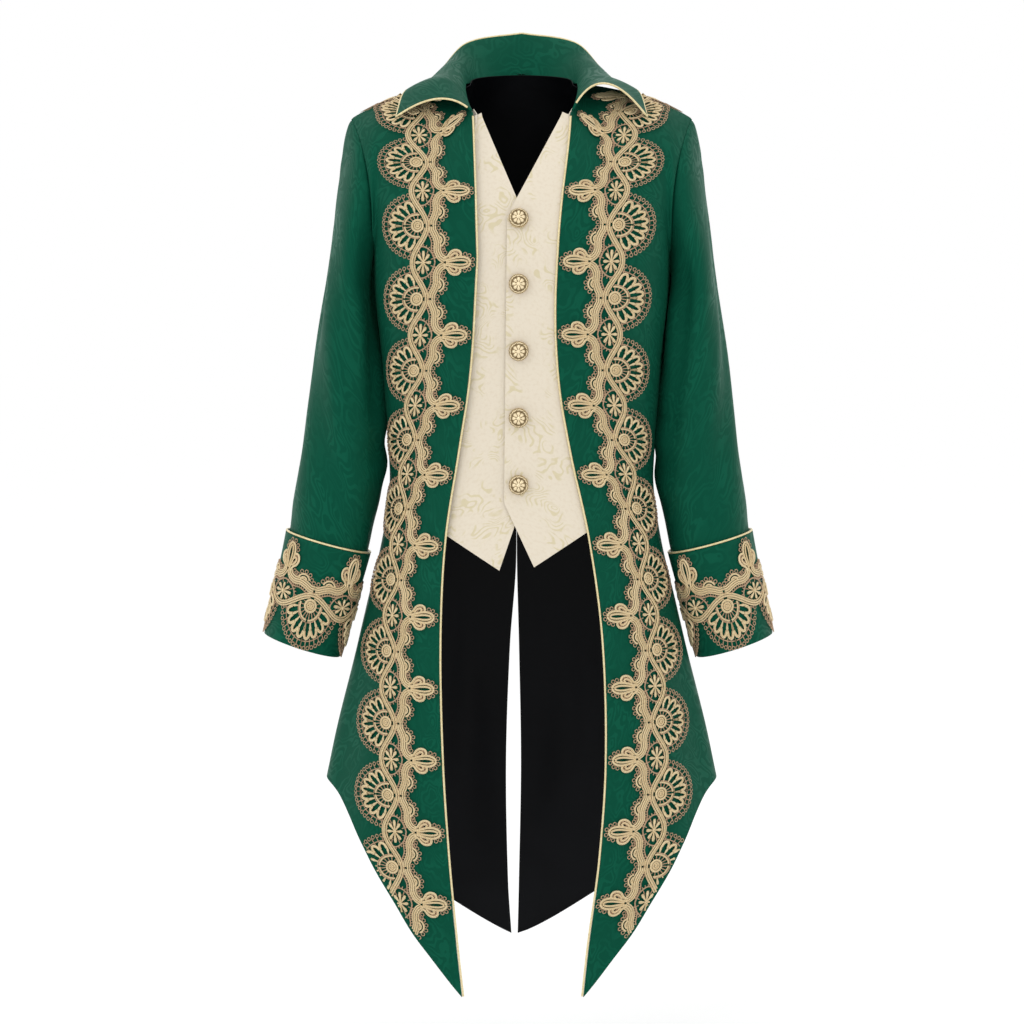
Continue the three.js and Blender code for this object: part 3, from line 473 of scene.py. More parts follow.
def grid_area(points):
    """Area of a grid, from the diagonals of its cells."""
    a = points[1:, 1:] - points[:-1, :-1]
    b = points[1:, :-1] - points[:-1, 1:]
    return float(np.linalg.norm(np.cross(a, b), axis=-1).sum() / 2)


def cloth(node, place, columns, rows, finishes, *, rests_on, kind="brocade", slot="green_brocade",
          wall=COAT_WALL, centre=COAT_MIDDLE, trims=(), ring=False, lift=0.0, relief=None):
    """A piece of cloth: a grid laid on a surface, given its folds, its own flat pattern and its thickness."""
    down, across = np.meshgrid(np.linspace(0, 1, rows + 1), np.linspace(0, 1, columns + 1), indexing="ij")
    flat = place(across, down)
    normals = grid_normals(flat, ring)
    if (normals * (flat - centre)).sum() < 0:
        normals = -normals
    folds = relief(across, down, flat) if relief else 0.0
    points = flat + normals * (lift + folds + np.zeros(across.shape))[..., None]
    u, v = walked(flat, 1), walked(flat, 0)
    u = u - u[:, [columns // 2]] + CUT_APART * len(bpy.data.meshes)
    bm = bmesh.new()
    bmesh.ops.create_grid(bm, x_segments=columns, y_segments=rows, size=0.5)
    place_of = {}
    for vert in bm.verts:
        column, row = (round((value + 0.5) * count) for value, count in zip(vert.co.xy, (columns, rows)))
        place_of[vert] = (rows - row, column)
        vert.co = Vector(points[rows - row, column]) * MM
    mapped(bm, "cloth", lambda vert: (u[place_of[vert]] * MM, -v[place_of[vert]] * MM))
    bm.normal_update()
    if sum(face.normal.dot(Vector(normals[place_of[face.verts[0]]])) for face in bm.faces) < 0:
        bmesh.ops.reverse_faces(bm, faces=bm.faces[:])
    if ring:
        bmesh.ops.remove_doubles(bm, verts=bm.verts[:], dist=WELD * MM)
    for edge in bm.edges:
        edge.smooth = not edge.is_boundary
    piece = finished(node, kind, bm, finishes)
    thickness = piece.modifiers.new("thickness", "SOLIDIFY")
    thickness.thickness = wall * MM
    thickness.offset = -1
    thickness.material_offset = len(finishes) - 1
    float(walked(flat, 1).max()) * MM
    float(walked(flat, 0).max()) * MM
    grid_area(flat) * MM * MM


def mapped(bm, name, uv_of):
    """Gives a bmesh its flat map, from where uv_of puts each vertex."""
    layer = bm.loops.layers.uv.new(name)
    for face in bm.faces:
        for loop in face.loops:
            loop[layer].uv = uv_of(loop.vert)


def placed(name, data):
    """An object in the scene for a mesh, a curve, a light or a camera."""
    thing = bpy.data.objects.new(name, data)
    bpy.context.scene.collection.objects.link(thing)
    return thing


def meshed(name, bm):
    """A mesh made of a bmesh, which is given up."""
    mesh = bpy.data.meshes.new(name)
    bm.to_mesh(mesh)
    bm.free()
    return mesh


def finished(node, kind, bm, finishes):
    """Makes the piece that stands for a node, smooth and with its finishes, on the coat's one body."""
    for face in bm.faces:
        face.smooth = True
    mesh = meshed(f"{node}_{kind}", bm)
    piece = placed(f"{node}_{kind}", mesh)
    for finish in finishes:
        mesh.materials.append(finish)
    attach(piece, "root")
    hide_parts(node)
    return piece


# Threads and cords


def drawn(threads, sides=0):
    """A bmesh of round threads: each is (points in millimetres, radius, closed)."""
    data = bpy.data.curves.new("threads", "CURVE")
    data.dimensions = "3D"
    data.bevel_resolution = sides
    data.bevel_depth = 1
    data.use_fill_caps = True
    for points, radius, closed in threads:
        points = np.asarray(points, float)
        spline = data.splines.new("POLY")
        spline.points.add(len(points) - 1)
        spline.points.foreach_set("co", np.c_[points, np.ones(len(points))].ravel())
        spline.points.foreach_set("radius", np.broadcast_to(radius, len(points)).astype(float).copy())
        spline.use_cyclic_u = closed
        spline.use_smooth = True
    maker = placed("threads", data)
    bpy.context.view_layer.update()
    mesh = bpy.data.meshes.new_from_object(maker.evaluated_get(bpy.context.evaluated_depsgraph_get()))
    bpy.data.objects.remove(maker)
    bpy.data.curves.remove(data)
    bm = bmesh.new()
    bm.from_mesh(mesh)
    bpy.data.meshes.remove(mesh)
    return bm


def smooth_line(corners, count):
    """A smooth open line through the corners, as `count` points."""
    corners = np.asarray(corners, float)
    key = np.arange(len(corners), dtype=float)
    at = np.linspace(0, len(corners) - 1, count)
    return Table("key s t", *np.c_[key, corners]).points(at, "s t")


# Finishes


class Wire:
    """A node's output in a material. + - * / and `math` join Math nodes, and `made` adds any other node."""

    def __init__(self, tree, socket):
        self.tree, self.socket = tree, socket

    def made(self, kind, inputs, output=0, **settings):
        node = self.tree.nodes.new("ShaderNode" + kind)
        for name, value in settings.items():
            setattr(node, name, value)
        for name, value in inputs.items():
            if isinstance(value, Wire):
                self.tree.links.new(value.socket, node.inputs[name])
            elif value is not None:
                node.inputs[name].default_value = value
        return Wire(self.tree, node.outputs[output])

    def math(self, operation, other=None, clamped=False):
        return self.made("Math", {0: self, 1: other}, operation=operation, use_clamp=clamped)

    def __add__(self, other):
        return self.math("ADD", other)

    def __sub__(self, other):
        return self.math("SUBTRACT", other)

    def __mul__(self, other):
        return self.math("MULTIPLY", other)

    def __truediv__(self, other):
        return self.math("DIVIDE", other)

    __radd__, __rmul__ = __add__, __mul__

    def __rsub__(self, other):
        return self.made("Math", {0: other, 1: self}, operation="SUBTRACT")

    def band(self, low, high):
        """0 below low and 1 above high, smooth between."""
        return self.made(
            "MapRange", {"Value": self, "From Min": low, "From Max": high}, interpolation_type="SMOOTHSTEP"
        )

    def blend(self, low, high):
        """A colour from low to high by this share. Either may be a colour or a wire."""
        return self.made("Mix", {0: self, 6: low, 7: high}, 2, data_type="RGBA")

    def noise(self, scale, detail=1.0, roughness=0.5, distortion=0.0, output=0):
        inputs = {"Scale": scale, "Detail": detail, "Roughness": roughness, "Distortion": distortion}
        return self.made("TexNoise", {"Vector": self, **inputs}, output)

    def moved(self, other, share):
        """This vector pushed along another, which is centred on a half."""
        centred = other.made("VectorMath", {0: other, 1: (0.5, 0.5, 0.5)}, operation="SUBTRACT")
        pushed = centred.made("VectorMath", {0: centred, "Scale": share}, operation="SCALE")
        return self.made("VectorMath", {0: self, 1: pushed}, operation="ADD")


def finish(name, constants, paint):
    """A material with its constant sockets set; paint(wire) returns what goes into the varying ones."""
    material = bpy.data.materials.new(name)
    material.use_nodes = True
    tree = material.node_tree
    shader = tree.nodes["Principled BSDF"]
    for socket, value in constants.items():
        shader.inputs[socket].default_value = value
    coordinates = tree.nodes.new("ShaderNodeTexCoord")
    wires = paint(Wire(tree, coordinates.outputs["UV"]), Wire(tree, coordinates.outputs["Object"]))
    for socket, wire in wires.items():
        tree.links.new(wire.socket, shader.inputs[socket])
    return material


def bumped(height, strength, distance):
    """A Bump node's normal."""
    return height.made("Bump", {"Height": height, "Strength": strength, "Distance": distance})


def scrolls(place, cell, lines, curl):
    """Flowing scroll lines as a field from -1 to 1: rings about scattered centres, bent by noise."""
    bent = place.moved(place.noise(cell * 1.3, 1.0, output=1), curl / cell)
    rings = bent.made("TexVoronoi", {"Vector": bent, "Scale": cell, "Smoothness": 0.9}, feature="SMOOTH_F1")
    drift = bent.noise(cell * 0.9, 1.5, 0.45)
    return ((rings * 0.62 + drift * 1.1) * (lines * 2 * math.pi)).math("SINE")


def green_brocade():
    dark, light = (0.0022, 0.054, 0.031, 1), (0.0038, 0.073, 0.042, 1)
    shine = {"Specular IOR Level": 0.3, "Specular Tint": (0.08, 0.6, 0.35, 1)}
    bloom = {"Sheen Weight": 0.06, "Sheen Roughness": 0.4, "Sheen Tint": (0.1, 0.7, 0.4, 1)}

    def paint(cloth_uv, _):
        lines = scrolls(cloth_uv, 33, 7.5, 0.6).band(-0.2, 0.5)
        patches = cloth_uv.noise(21, 1.0).band(0.4, 0.6)
        figure = lines * (patches * 0.7 + 0.3)
        weave = cloth_uv.noise(1400, 0.0)
        return {
            "Base Color": (figure * 0.85 + weave * 0.15).blend(dark, light),
            "Roughness": 0.62 - figure * 0.14,
            "Normal": bumped(figure * 0.6 + weave * 0.4, 0.2, 0.0006),
        }

    return finish("green_brocade", {**shine, **bloom}, paint)


def ivory_brocade():
    ivory, shade, gold = (0.73, 0.66, 0.54, 1), (0.66, 0.575, 0.445, 1), (0.55, 0.475, 0.23, 1)

    def paint(cloth_uv, _):
        lines = scrolls(cloth_uv, 30, 11, 0.5).band(0.2, 0.8)
        sprigs = cloth_uv.noise(26, 2.0, 0.6).band(0.49, 0.57)
        weave = cloth_uv.noise(1500, 0.0)
        dapple = cloth_uv.noise(240, 1.0).band(0.45, 0.7)
        figure = lines * sprigs
        return {
            "Base Color": (figure * 0.5).blend((weave * 0.5 + dapple * 0.4).blend(ivory, shade), gold),
            "Roughness": 0.55 - figure * 0.2,
            "Normal": bumped(figure * 0.7 + weave * 0.3, 0.22, 0.0006),
        }

    return finish("ivory_brocade", {"Sheen Weight": 0.12, "Specular IOR Level": 0.35}, paint)


def gold_lace():
    """The lace's cords: tan gold, with paler teeth, scallops and petals."""
    deep, tan, pale = (0.31, 0.20, 0.072, 1), (0.58, 0.42, 0.20, 1), (0.82, 0.67, 0.41, 1)

    def paint(lace_uv, place):
        along, across = (lace_uv.made("SeparateXYZ", {0: lace_uv}, i) for i in (0, 1))
        from_fan = along.math("PINGPONG", LACE_PITCH / 2 * MM)

        def apart(side, down):
            return (side * side + down * down).math("SQRT")

        fan = apart(from_fan / LaceRepeat.FAN_SQUASH, across - LaceRepeat.DISC_T * MM)
        petal = apart((from_fan - LaceRepeat.FLOWER[0] * MM) / LaceRepeat.FLOWER_STRETCH,
                      across - LaceRepeat.FLOWER[1] * MM)
        teeth = fan.band(0.0185, 0.0195) * across.band(0.069, 0.071)
        light = teeth.math("MAXIMUM", (LaceRepeat.PETAL_REACH * MM - petal).math("GREATER_THAN", 0))
        twist = place.noise(420, 1.0)
        shade = lace_uv.noise(60, 1.0)
        gold = (twist * 0.6 + shade * 0.6 - 0.1).blend(deep, tan)
        return {
            "Base Color": (light * 0.75).blend(gold, pale),
            "Roughness": twist * 0.2 + 0.4,
            "Normal": bumped(twist, 0.5, 0.0005),
        }

    return finish("gold_lace", {"Metallic": 0.1, "Sheen Weight": 0.15}, paint)


def lace_thread():
    """The fine threads of the lace's picots and bars, browner than its cords: partly their own pinkish tan,
    and darker still as painted shade between the cords.
    """
    dark, light = (0.29, 0.17, 0.092, 1), (0.56, 0.38, 0.23, 1)

    def paint(_, place):
        return {"Base Color": place.noise(600, 0.0).blend(dark, light)}

    return finish("lace_thread", {"Roughness": 0.55, "Sheen Weight": 0.15}, paint)


def black_satin():
    dark, light = (0.0006, 0.0007, 0.001, 1), (0.0055, 0.006, 0.0075, 1)

    def paint(_, place):
        # The folds noise also lightens the base colour in soft patches: painted sheen of the satin, besides
        # its bump and roughness.
        folds = place.noise(9, 2.0, 0.5, 0.6)
        return {
            "Base Color": folds.blend(dark, light),
            "Roughness": folds * 0.15 + 0.34,
            "Normal": bumped(folds, 0.25, 0.006),
        }

    return finish("black_lining", {"Specular IOR Level": 0.07}, paint)


def gold_piping():
    dark, light = (0.62, 0.49, 0.22, 1), (0.86, 0.76, 0.48, 1)

    def paint(_, place):
        twist = place.noise(500, 0.0)
        return {
            "Base Color": twist.blend(dark, light),
            "Normal": bumped(twist, 0.4, 0.0004),
        }

    return finish("piping", {"Roughness": 0.34, "Metallic": 0.3}, paint)


def brass():
    """Brass: bright where the rosette stands up and dark in its hollows as painted shade, by the u of its
    map.
    """
    dark, light = (0.18, 0.125, 0.06, 1), (0.84, 0.70, 0.46, 1)

    def paint(relief_uv, place):
        relief = relief_uv.made("SeparateXYZ", {0: relief_uv}, 0)
        wear_and_shade_noise = place.noise(260, 2.0)
        # Low relief takes the dark colour: painted shade in the rosette's hollows, broken up by noise.
        raised = (relief + wear_and_shade_noise * 0.3 - 0.15).band(0.12, 0.6)
        return {
            "Base Color": raised.blend(dark, light),
            "Roughness": 0.48 - raised * 0.22,
        }

    return finish("brass_button", {"Metallic": 1.0}, paint)


# Lace


def arc(middle, radius, start, stop, count, squash=1.0):
    """Points on an arc about (s, t): angle 0 points away from the front edge, degrees."""
    turn = np.radians(np.linspace(start, stop, count))
    return np.c_[middle[0] + squash * radius * np.sin(turn), middle[1] + radius * np.cos(turn)]


def ray(middle, turn, radii, squash=1.0):
    """Points straight out from the middle at one angle."""
    return [arc(middle, radius, turn, turn, 1, squash)[0] for radius in radii]


def beside(points, offset):
    """The line that runs at an offset to the left of this one."""
    along = unit(np.gradient(points, axis=0))
    return points + np.c_[-along[:, 1], along[:, 0]] * offset


def spaced(points, step):
    """Places at even steps along a line, and the direction to its left there."""
    length = walked(points, 0)
    at = np.arange(step / 2, length[-1], step)
    places = np.c_[np.interp(at, length, points[:, 0]), np.interp(at, length, points[:, 1])]
    along = unit(np.gradient(points, axis=0))
    facing = np.c_[np.interp(at, length, -along[:, 1]), np.interp(at, length, along[:, 0])]
    return places, unit(facing)


class LaceRepeat:
    """One repeat of the lace in the flat, from a fan's middle to the next, as threads in (s, t, h)."""

    HALF = (LACE_PITCH / 2, 0)
    CORD = 1.08
    THREAD = 0.62
    PICOT = 2.2
    FLOWER = (LACE_PITCH / 2, 60.5)
    DISC_T = 67
    FAN_SQUASH = 0.8
    FLOWER_STRETCH = 1.4
    PETAL_REACH = 11.6

    def __init__(self):
        self.threads = []
        self.leaf()
        self.arches()
        self.flower()
        self.braid()
        for middle in (0, LACE_PITCH):
            self.fan(middle)

    def add(self, points, radius, closed=False, height=1.2):
        """Keeps the part of a thread that lies in this repeat."""
        points = np.asarray(points, float)
        inside = (points[:, 0] > -WELD) & (points[:, 0] < LACE_PITCH + WELD)
        if inside.all():
            self.threads.append((np.c_[points, np.full(len(points), float(height))], radius, closed))
            return
        kept = np.flatnonzero(inside)
        for run in np.split(kept, np.flatnonzero(np.diff(kept) > 1) + 1):
            if len(run) > 1:
                self.add(points[run], np.broadcast_to(radius, len(points))[run], height=height)

    def both(self, points, radius, height=1.2):
        """A thread and its mirror image on the other side of the leaf."""
        points = np.asarray(points, float)
        self.add(points + self.HALF, radius, height=height)
        self.add(points * (-1, 1) + self.HALF, radius, height=height)

    def picots(self, line, side):
        """Loops along one side of a line, and of its mirror image across the leaf."""
        turn = np.linspace(0, 2 * math.pi, 7)[:-1]
        for half in (line + self.HALF, (line * (-1, 1) + self.HALF)[::-1]):
            places, facing = spaced(half, 4.6)
            for middle in places + facing * side * (self.PICOT + self.CORD * 0.9):
                loop = middle + self.PICOT * np.c_[np.cos(turn), np.sin(turn)]
                self.add(loop, self.THREAD, closed=True, height=0.9)

    def bars(self, line, step, length, first=0):
        """Short threads that tie a line to what lies to the right of it."""
        places, facing = spaced(line, step)
        for place, way in zip(places[first:], facing[first:]):
            self.both([place, place - way * length], self.THREAD, 0.8)

    def leaf(self):
        """A spear with a round lobe on each side, ringed by picots."""
        spear = np.array([(2.2, 36), (3.6, 29), (6.0, 20), (6.4, 12), (4.0, 5.5), (0, 3.2)])
        edge = smooth_line(spear, 14)
        self.both(edge, 1.5, height=1.7)
        self.both(smooth_line(spear * (0.45, 0.8) + (0, 3.6), 10), 1.3, height=1.9)
        corners = [(5.6, 17), (9.5, 14.8), (13.6, 17), (14.6, 22.5), (12, 27.5), (7, 31), (4.5, 36)]
        lobe = smooth_line(corners, 16)
        self.both(lobe, 1.5, height=1.3)
        self.both(smooth_line([(6.8, 20.5), (9.4, 19), (11, 22), (9.2, 25.6), (5.4, 29)], 9), 1.3, height=1.4)
        tip = smooth_line([(7.4, 12.6), (4.8, 5.2), (0, 2.6)], 7)
        for line in (lobe[1:13], tip):
            self.picots(line, 1)

    def arches(self):
        corners = [(3, 34), (7, 40), (15, 43.5), (24, 43), (32, 45.2), (39, 48.5), (LACE_PITCH / 2, 48.5)]
        sweep = smooth_line(corners, 22)
        for offset, height in ((-3.6, 0.9), (-1.2, 1.5), (1.2, 1.5), (3.6, 0.9)):
            self.both(beside(sweep, offset), self.CORD, height)
        lobe = arc((27, 42), 8, 105, 255, 10)
        self.both(lobe, self.CORD, 1.3)
        self.both(arc((27, 42), 4.6, 110, 250, 7), self.CORD, 1.4)
        self.picots(lobe, 1)
        for part in (sweep[3:8], sweep[16:]):
            self.picots(beside(part, -4.4), -1)
        rail = beside(sweep, 7.2)[4:]
        self.both(rail, 0.75, 1.0)
        self.bars(rail, 3.1, 4.4)

    def flower(self):
        for turn in range(0, 360, 45):
            petal = ray(self.FLOWER, turn, (1.2, 4, 7.4, 9.8), self.FLOWER_STRETCH)
            self.add(petal, np.array([0.8, 1.2, 2.1, 1.3]), height=1.4)
        self.add(arc(self.FLOWER, 1.1, 0, 300, 6), 1.4, closed=True, height=2.2)
        pocket = smooth_line([(0, 46), (9, 48.5), (16.5, 55), (19, 62), (16, 69)], 14)
        self.both(pocket, 0.9, 1.0)
        for turn in (22, 68, 112, 158):
            self.both(ray((0, self.FLOWER[1]), turn, (10, 15.5)), 0.6, 0.8)
        self.bars(pocket, 3.4, 3, first=1)

    def braid(self):
        s = np.linspace(0, LACE_PITCH, 34)
        line = np.c_[s, 65 - 9.5 * np.cos(2 * math.pi * s / LACE_PITCH)]
        for offset, height in ((-2.4, 1.0), (0, 1.8), (2.4, 1.0)):
            self.add(beside(line, offset), self.CORD, height=height)

    def fan(self, s):
        middle, squash = (s, self.DISC_T), self.FAN_SQUASH
        for radius, count, height in ((1.4, 7, 1.6), (4.0, 13, 1.5), (6.9, 17, 2.1)):
            self.add(arc(middle, radius, 0, 360, count), 1.4, height=height)
        for turn in np.arange(-110, 120, 20):
            self.add(ray(middle, turn, (8, 12.8 if abs(turn) > 90 else 16), squash), self.THREAD, height=0.9)
        self.add(arc(middle, 17, -98, 98, 22, squash), 1.15, height=1.2)
        self.add(arc(middle, 19.3, -92, 92, 22, squash), 0.85, height=1.0)
        for turn in np.arange(-80, 81, 20):
            tooth = ray(middle, turn, (19, 22, 26, 29.5), squash)
            self.add(tooth, np.array([0.7, 1.0, 1.7, 1.2]), height=1.4)
        swell = np.sin(np.linspace(0, math.pi, 8)) ** 0.6
        for turn in np.arange(-80, 80, 20):
            turns = np.radians(np.linspace(turn + 1, turn + 19, 8))
            radii = 29 + 9 * swell
            scallop = np.c_[s + squash * radii * np.sin(turns), self.DISC_T + radii * np.cos(turns)]
            self.add(scallop, 1.8, height=1.4)
        self.add(arc(middle, 41, -78, 78, 34, squash), 0.7, height=0.9)
        for turn in np.arange(-76, 77, 9.5):
            self.add(ray(middle, turn, (38, 47.4), squash), self.THREAD, height=0.9)
        for turn in np.arange(-76, 77, 7.6):
            loop = arc(ray(middle, turn, (49,), squash)[0], self.PICOT, 0, 300, 6)
            self.add(loop, self.THREAD, closed=True, height=0.9)

    def mesh(self):
        """The cords in the first finish, and the threads under 1 mm in radius in the second."""
        fine = drawn([thread for thread in self.threads if np.max(thread[1]) < 1])
        for face in fine.faces:
            face.material_index = 1
        fine = meshed("fine_threads", fine)
        cords = drawn([thread for thread in self.threads if np.max(thread[1]) >= 1])
        cords.from_mesh(fine)
        bpy.data.meshes.remove(fine)
        return meshed("lace_repeat", cords)


def laid_lace(node, repeats, first, lay, golds):
    """Repeats of the lace, end to end. lay(s, t, h) gives points in mm and which of them are kept."""
    bm = bmesh.new()
    for i in range(repeats):
        before = len(bm.verts)
        bm.from_mesh(repeats_mesh)
        bm.verts.ensure_lookup_table()
        bmesh.ops.translate(bm, verts=bm.verts[before:], vec=(first + i * LACE_PITCH, 0, 0))
    flat = np.array([vert.co for vert in bm.verts])
    points, kept = lay(*flat.T)
    bm.verts.index_update()
    mapped(bm, "lace", lambda vert: flat[vert.index, :2] * MM)
    for vert, point in zip(bm.verts, points * MM):
        vert.co = point
    bmesh.ops.delete(bm, geom=[vert for vert, keep in zip(bm.verts, kept) if not keep], context="VERTS")
    return finished(node, "gold", bm, golds)


class FrontMap:
    """Where the flat lace lies on a front: straight across at each height, its length kept along its axis."""

    TOP_Z, TOP_LENGTH, TOP_EASE = -41, 135, 0.84  # where the lace starts, and its first part, eased in
    AXIS, DRIFT, DRIFT_LENGTH = 67, 10, 130  # the line that keeps its length, and the drift in at the top
    START_Z, END_Z, STEP, REACH = -8, -1126, 2.0, 140  # the grid of places
    FOOT_RISE, FOOT_REACH, FOOT_FADE = 40, 46, (58, 84)  # the first leaf, drawn up to the collar's corner

    def __init__(self, side):
        self.side = side
        panel = PANELS["front"]
        heights = np.arange(self.START_Z, self.END_Z, -self.STEP)
        shares = np.linspace(0, 1, 241)
        z, across = np.meshgrid(heights, shares, indexing="ij")
        level = level_of(side, z, across)
        points = panel_point(panel, side, across, level)
        on_row = points[..., 2] > z - 0.3
        steps = np.linalg.norm(np.diff(points, axis=1), axis=-1) * (on_row[:, 1:] & on_row[:, :-1])
        width = np.concatenate([np.zeros((len(heights), 1)), np.cumsum(steps, axis=1)], axis=1)
        self.t = np.arange(0, self.REACH + 1, self.STEP)
        self.reach = width[:, -1]
        self.across = np.array([np.interp(self.t, row + shares * 1e-6, shares) for row in width])
        z_grid = np.broadcast_to(heights[:, None], self.across.shape)
        level = level_of(side, z_grid, self.across)
        self.points = panel_point(panel, side, self.across, level)
        self.normals = panel_normal(panel, side, self.across, level)
        axis = self.points[:, int(self.AXIS / self.STEP)]
        length = walked(axis, 0)
        length = length - np.interp(-self.TOP_Z, -heights, length)
        eased = self.TOP_LENGTH * self.TOP_EASE
        self.s = np.where(length < eased, length / self.TOP_EASE, length + self.TOP_LENGTH - eased)
        self.heights = heights

    def sample(self, grid, row, column):
        r, c = np.floor(row).astype(int), np.floor(column).astype(int)
        r, c = np.clip(r, 0, len(self.s) - 2), np.clip(c, 0, len(self.t) - 2)
        down, over = row - r, column - c
        if grid.ndim == 3:
            down, over = down[:, None], over[:, None]
        return mix(mix(grid[r, c], grid[r, c + 1], over), mix(grid[r + 1, c], grid[r + 1, c + 1], over), down)

    def __call__(self, s, t, h):
        foot = (1 - ease(*self.FOOT_FADE, s)) * np.clip(1 - t / self.FOOT_REACH, 0, 1) ** 1.4
        s = s - self.FOOT_RISE * foot * (s > 0)
        t = t + LACE_EDGE + self.DRIFT * np.clip(1 - s / self.DRIFT_LENGTH, 0, 1.3) ** 2
        row = np.interp(s, self.s, np.arange(len(self.s)))
        column = t / self.STEP
        points = self.sample(self.points, row, column)
        normals = unit(self.sample(self.normals, row, column))
        across = self.sample(self.across, row, column)
        z, reach = (np.interp(row, np.arange(len(self.s)), values) for values in (self.heights, self.reach))
        kept = (z > FRONT_HEM.at(across, "z") + HEM_MARGIN) & (t < reach - 1)
        kept &= (s > self.s[0]) & ((z < NECK_CORNER[2] + 6) | (t > 16))
        return mirrored(points + normals * (LACE_LIFT + h)[:, None], self.side), kept


def cuff_map(side):
    """Where the flat lace lies on a cuff: s goes once round it and t down it."""

    def lay(s, t, h):
        turn = 2 * math.pi * s / (CUFF_REPEATS * LACE_PITCH)
        down = (CUFF_LACE_EDGE + t * CUFF_LACE_REACH) / (CUFF_TOP_Z - CUFF_END_Z)
        return cuff_point(side, turn, down, CUFF_LACE_LIFT + h), np.ones(len(s), bool)

    return lay


# Cords and buttons


def piping(node, points, gold, closed=False):
    bm = drawn([(points, PIPING_RADIUS, closed)], sides=3)
    bmesh.ops.transform(bm, matrix=Matrix.Scale(MM, 4), verts=bm.verts[:])
    return finished(node, "cord", bm, [gold])


def front_piping_line(side):
    """Just off the front's edge, from the neck to the hem."""
    level = np.linspace(4 - CHEST_SPAN, ARMPIT_Z - FRONT_HEM.at(0, "z") - 1, 160)
    edge, inward = (on_panel(PANELS["front"], side, np.full(level.shape, across), level, -COAT_WALL / 2)
                    for across in (0, 0.03))
    return edge + unit(edge - inward) * PIPING_OFFSET


def collar_piping_line():
    def beyond(along, across, ways, offset=PIPING_OFFSET):
        """Off the collar, away from its middle (1, 0), its neckline (0, 1) or both."""
        point = collar_point(along, across)
        inward = (collar_point(along * (1 - 0.04 * end), across - 0.04 * edge) for end, edge in ways)
        return point + sum(unit(point - inner) for inner in inward) * offset

    def front_edge(end):
        across = np.linspace(0.08, 0.96, 16)
        return beyond(np.full(across.shape, float(end)), across, [(1, 0)])

    def corner(end):
        return beyond(np.array([float(end)]), np.array([1.0]), [(1, 0), (0, 1)], PIPING_OFFSET * 0.9)

    along = np.linspace(0.985, -0.985, 120)
    fall = beyond(along, np.ones(along.shape), [(0, 1)])
    return np.concatenate([front_edge(1), corner(1), fall, corner(-1), front_edge(-1)[::-1]])


def button_relief(turn, share):
    """A rosette of eight petals inside a ring of leaves, from 0 in the hollows to 1."""
    petals = np.abs(np.cos(4 * turn)) ** 0.8 * bump(share, 0.3, 0.15)
    leaves = np.abs(np.cos(8 * turn + 14 * share)) ** 0.8 * bump(share, 0.7, 0.11)
    return np.clip(petals + leaves * 0.9 + bump(share, 0, 0.1) + bump(share, 1, 0.09), 0, 1)


def button(node, z, metal):
    around, rings = 72, 26
    bm = bmesh.new()
    bmesh.ops.create_grid(bm, x_segments=around, y_segments=rings, size=0.5)
    seat = opening_point(BUTTON_X, z)
    east, north = opening_point(BUTTON_X + 2, z) - seat, opening_point(BUTTON_X, z + 2) - seat
    outward = unit(np.cross(east, north))
    east = unit(east)
    north = np.cross(outward, east)
    step, radii, heights = BUTTON_BACK
    relief_of = {}
    for vert in bm.verts:
        turn, down = (vert.co.x + 0.5) * 2 * math.pi, vert.co.y + 0.5
        share = down / DOME_SHARE
        if share <= 1:
            relief = relief_of[vert] = float(button_relief(turn, share))
            radius = BUTTON_RADIUS * math.sin(share * math.pi / 2)
            height = SHANK_LENGTH + BUTTON_RIM + BUTTON_DOME * (math.cos(share * math.pi / 2) ** 0.9)
            height += BUTTON_RELIEF * relief * (1 - share**6)
        else:
            relief_of[vert] = 0.8
            beyond = (down - DOME_SHARE) / (1 - DOME_SHARE)
            radius, height = np.interp(beyond, step, radii), np.interp(beyond, step, heights)
        place = seat + outward * (BUTTON_SEAT - WAISTCOAT_DEPTH + height)
        vert.co = Vector(place + (east * math.cos(turn) + north * math.sin(turn)) * radius) * MM
    # The map's u holds the relief, which the brass finish turns into painted shade in the hollows.
    mapped(bm, "relief", lambda vert: (relief_of[vert], 0.5))
    bmesh.ops.remove_doubles(bm, verts=bm.verts[:], dist=WELD * MM)
    bmesh.ops.holes_fill(bm, edges=bm.edges[:])
    bmesh.ops.recalc_face_normals(bm, faces=bm.faces[:])
    finished(node, "brass", bm, [metal])


# The coat's pieces


def panel_place(panel, side, top=0.0, hem_rise=0.0, last=1.0):
    """A panel from its shoulder to its hem, or from a level below the armpit when a top is given."""

    def place(across, down):
        across = across * last
        hem = panel["hem"].at(across, "z") + hem_rise
        reach = ARMPIT_Z - hem
        if top:
            level = mix(top, reach, down)
        else:
            level = np.where(down < CHEST_ROWS, (down / CHEST_ROWS - 1) * CHEST_SPAN,
                             (down - CHEST_ROWS) / (1 - CHEST_ROWS) * reach)
        return mirrored(panel_point(panel, side, across, level), side)

    return place


def front_folds(across, down, flat):
    z = flat[..., 2]
    side_part = ease(0.62, 0.9, across)
    drag = 1.6 * np.sin(across * 26 + z / 42) * bump(z, -205, 60)
    drape = 1.4 * np.sin(across * 17 + z / 160) * ease(-520, -760, z)
    seam = -1.2 * bump(across, 1, 0.012)
    return (drag + drape) * side_part + seam


def back_folds(across, down, flat):
    z = flat[..., 2]
    seam = -1.4 * (bump(across, 0, 0.012) * ease(-590, -560, z) + bump(across, 1, 0.012))
    blade = 3.0 * bump(across, 0.42, 0.22) * bump(z, -140, 80)
    drag = 1.3 * np.sin(across * 22 - z / 38) * bump(z, -205, 70) * ease(0.45, 0.85, across)
    waist = 1.2 * np.sin(across * 14) * bump(z, -470, 60)
    return seam + blade + drag + waist


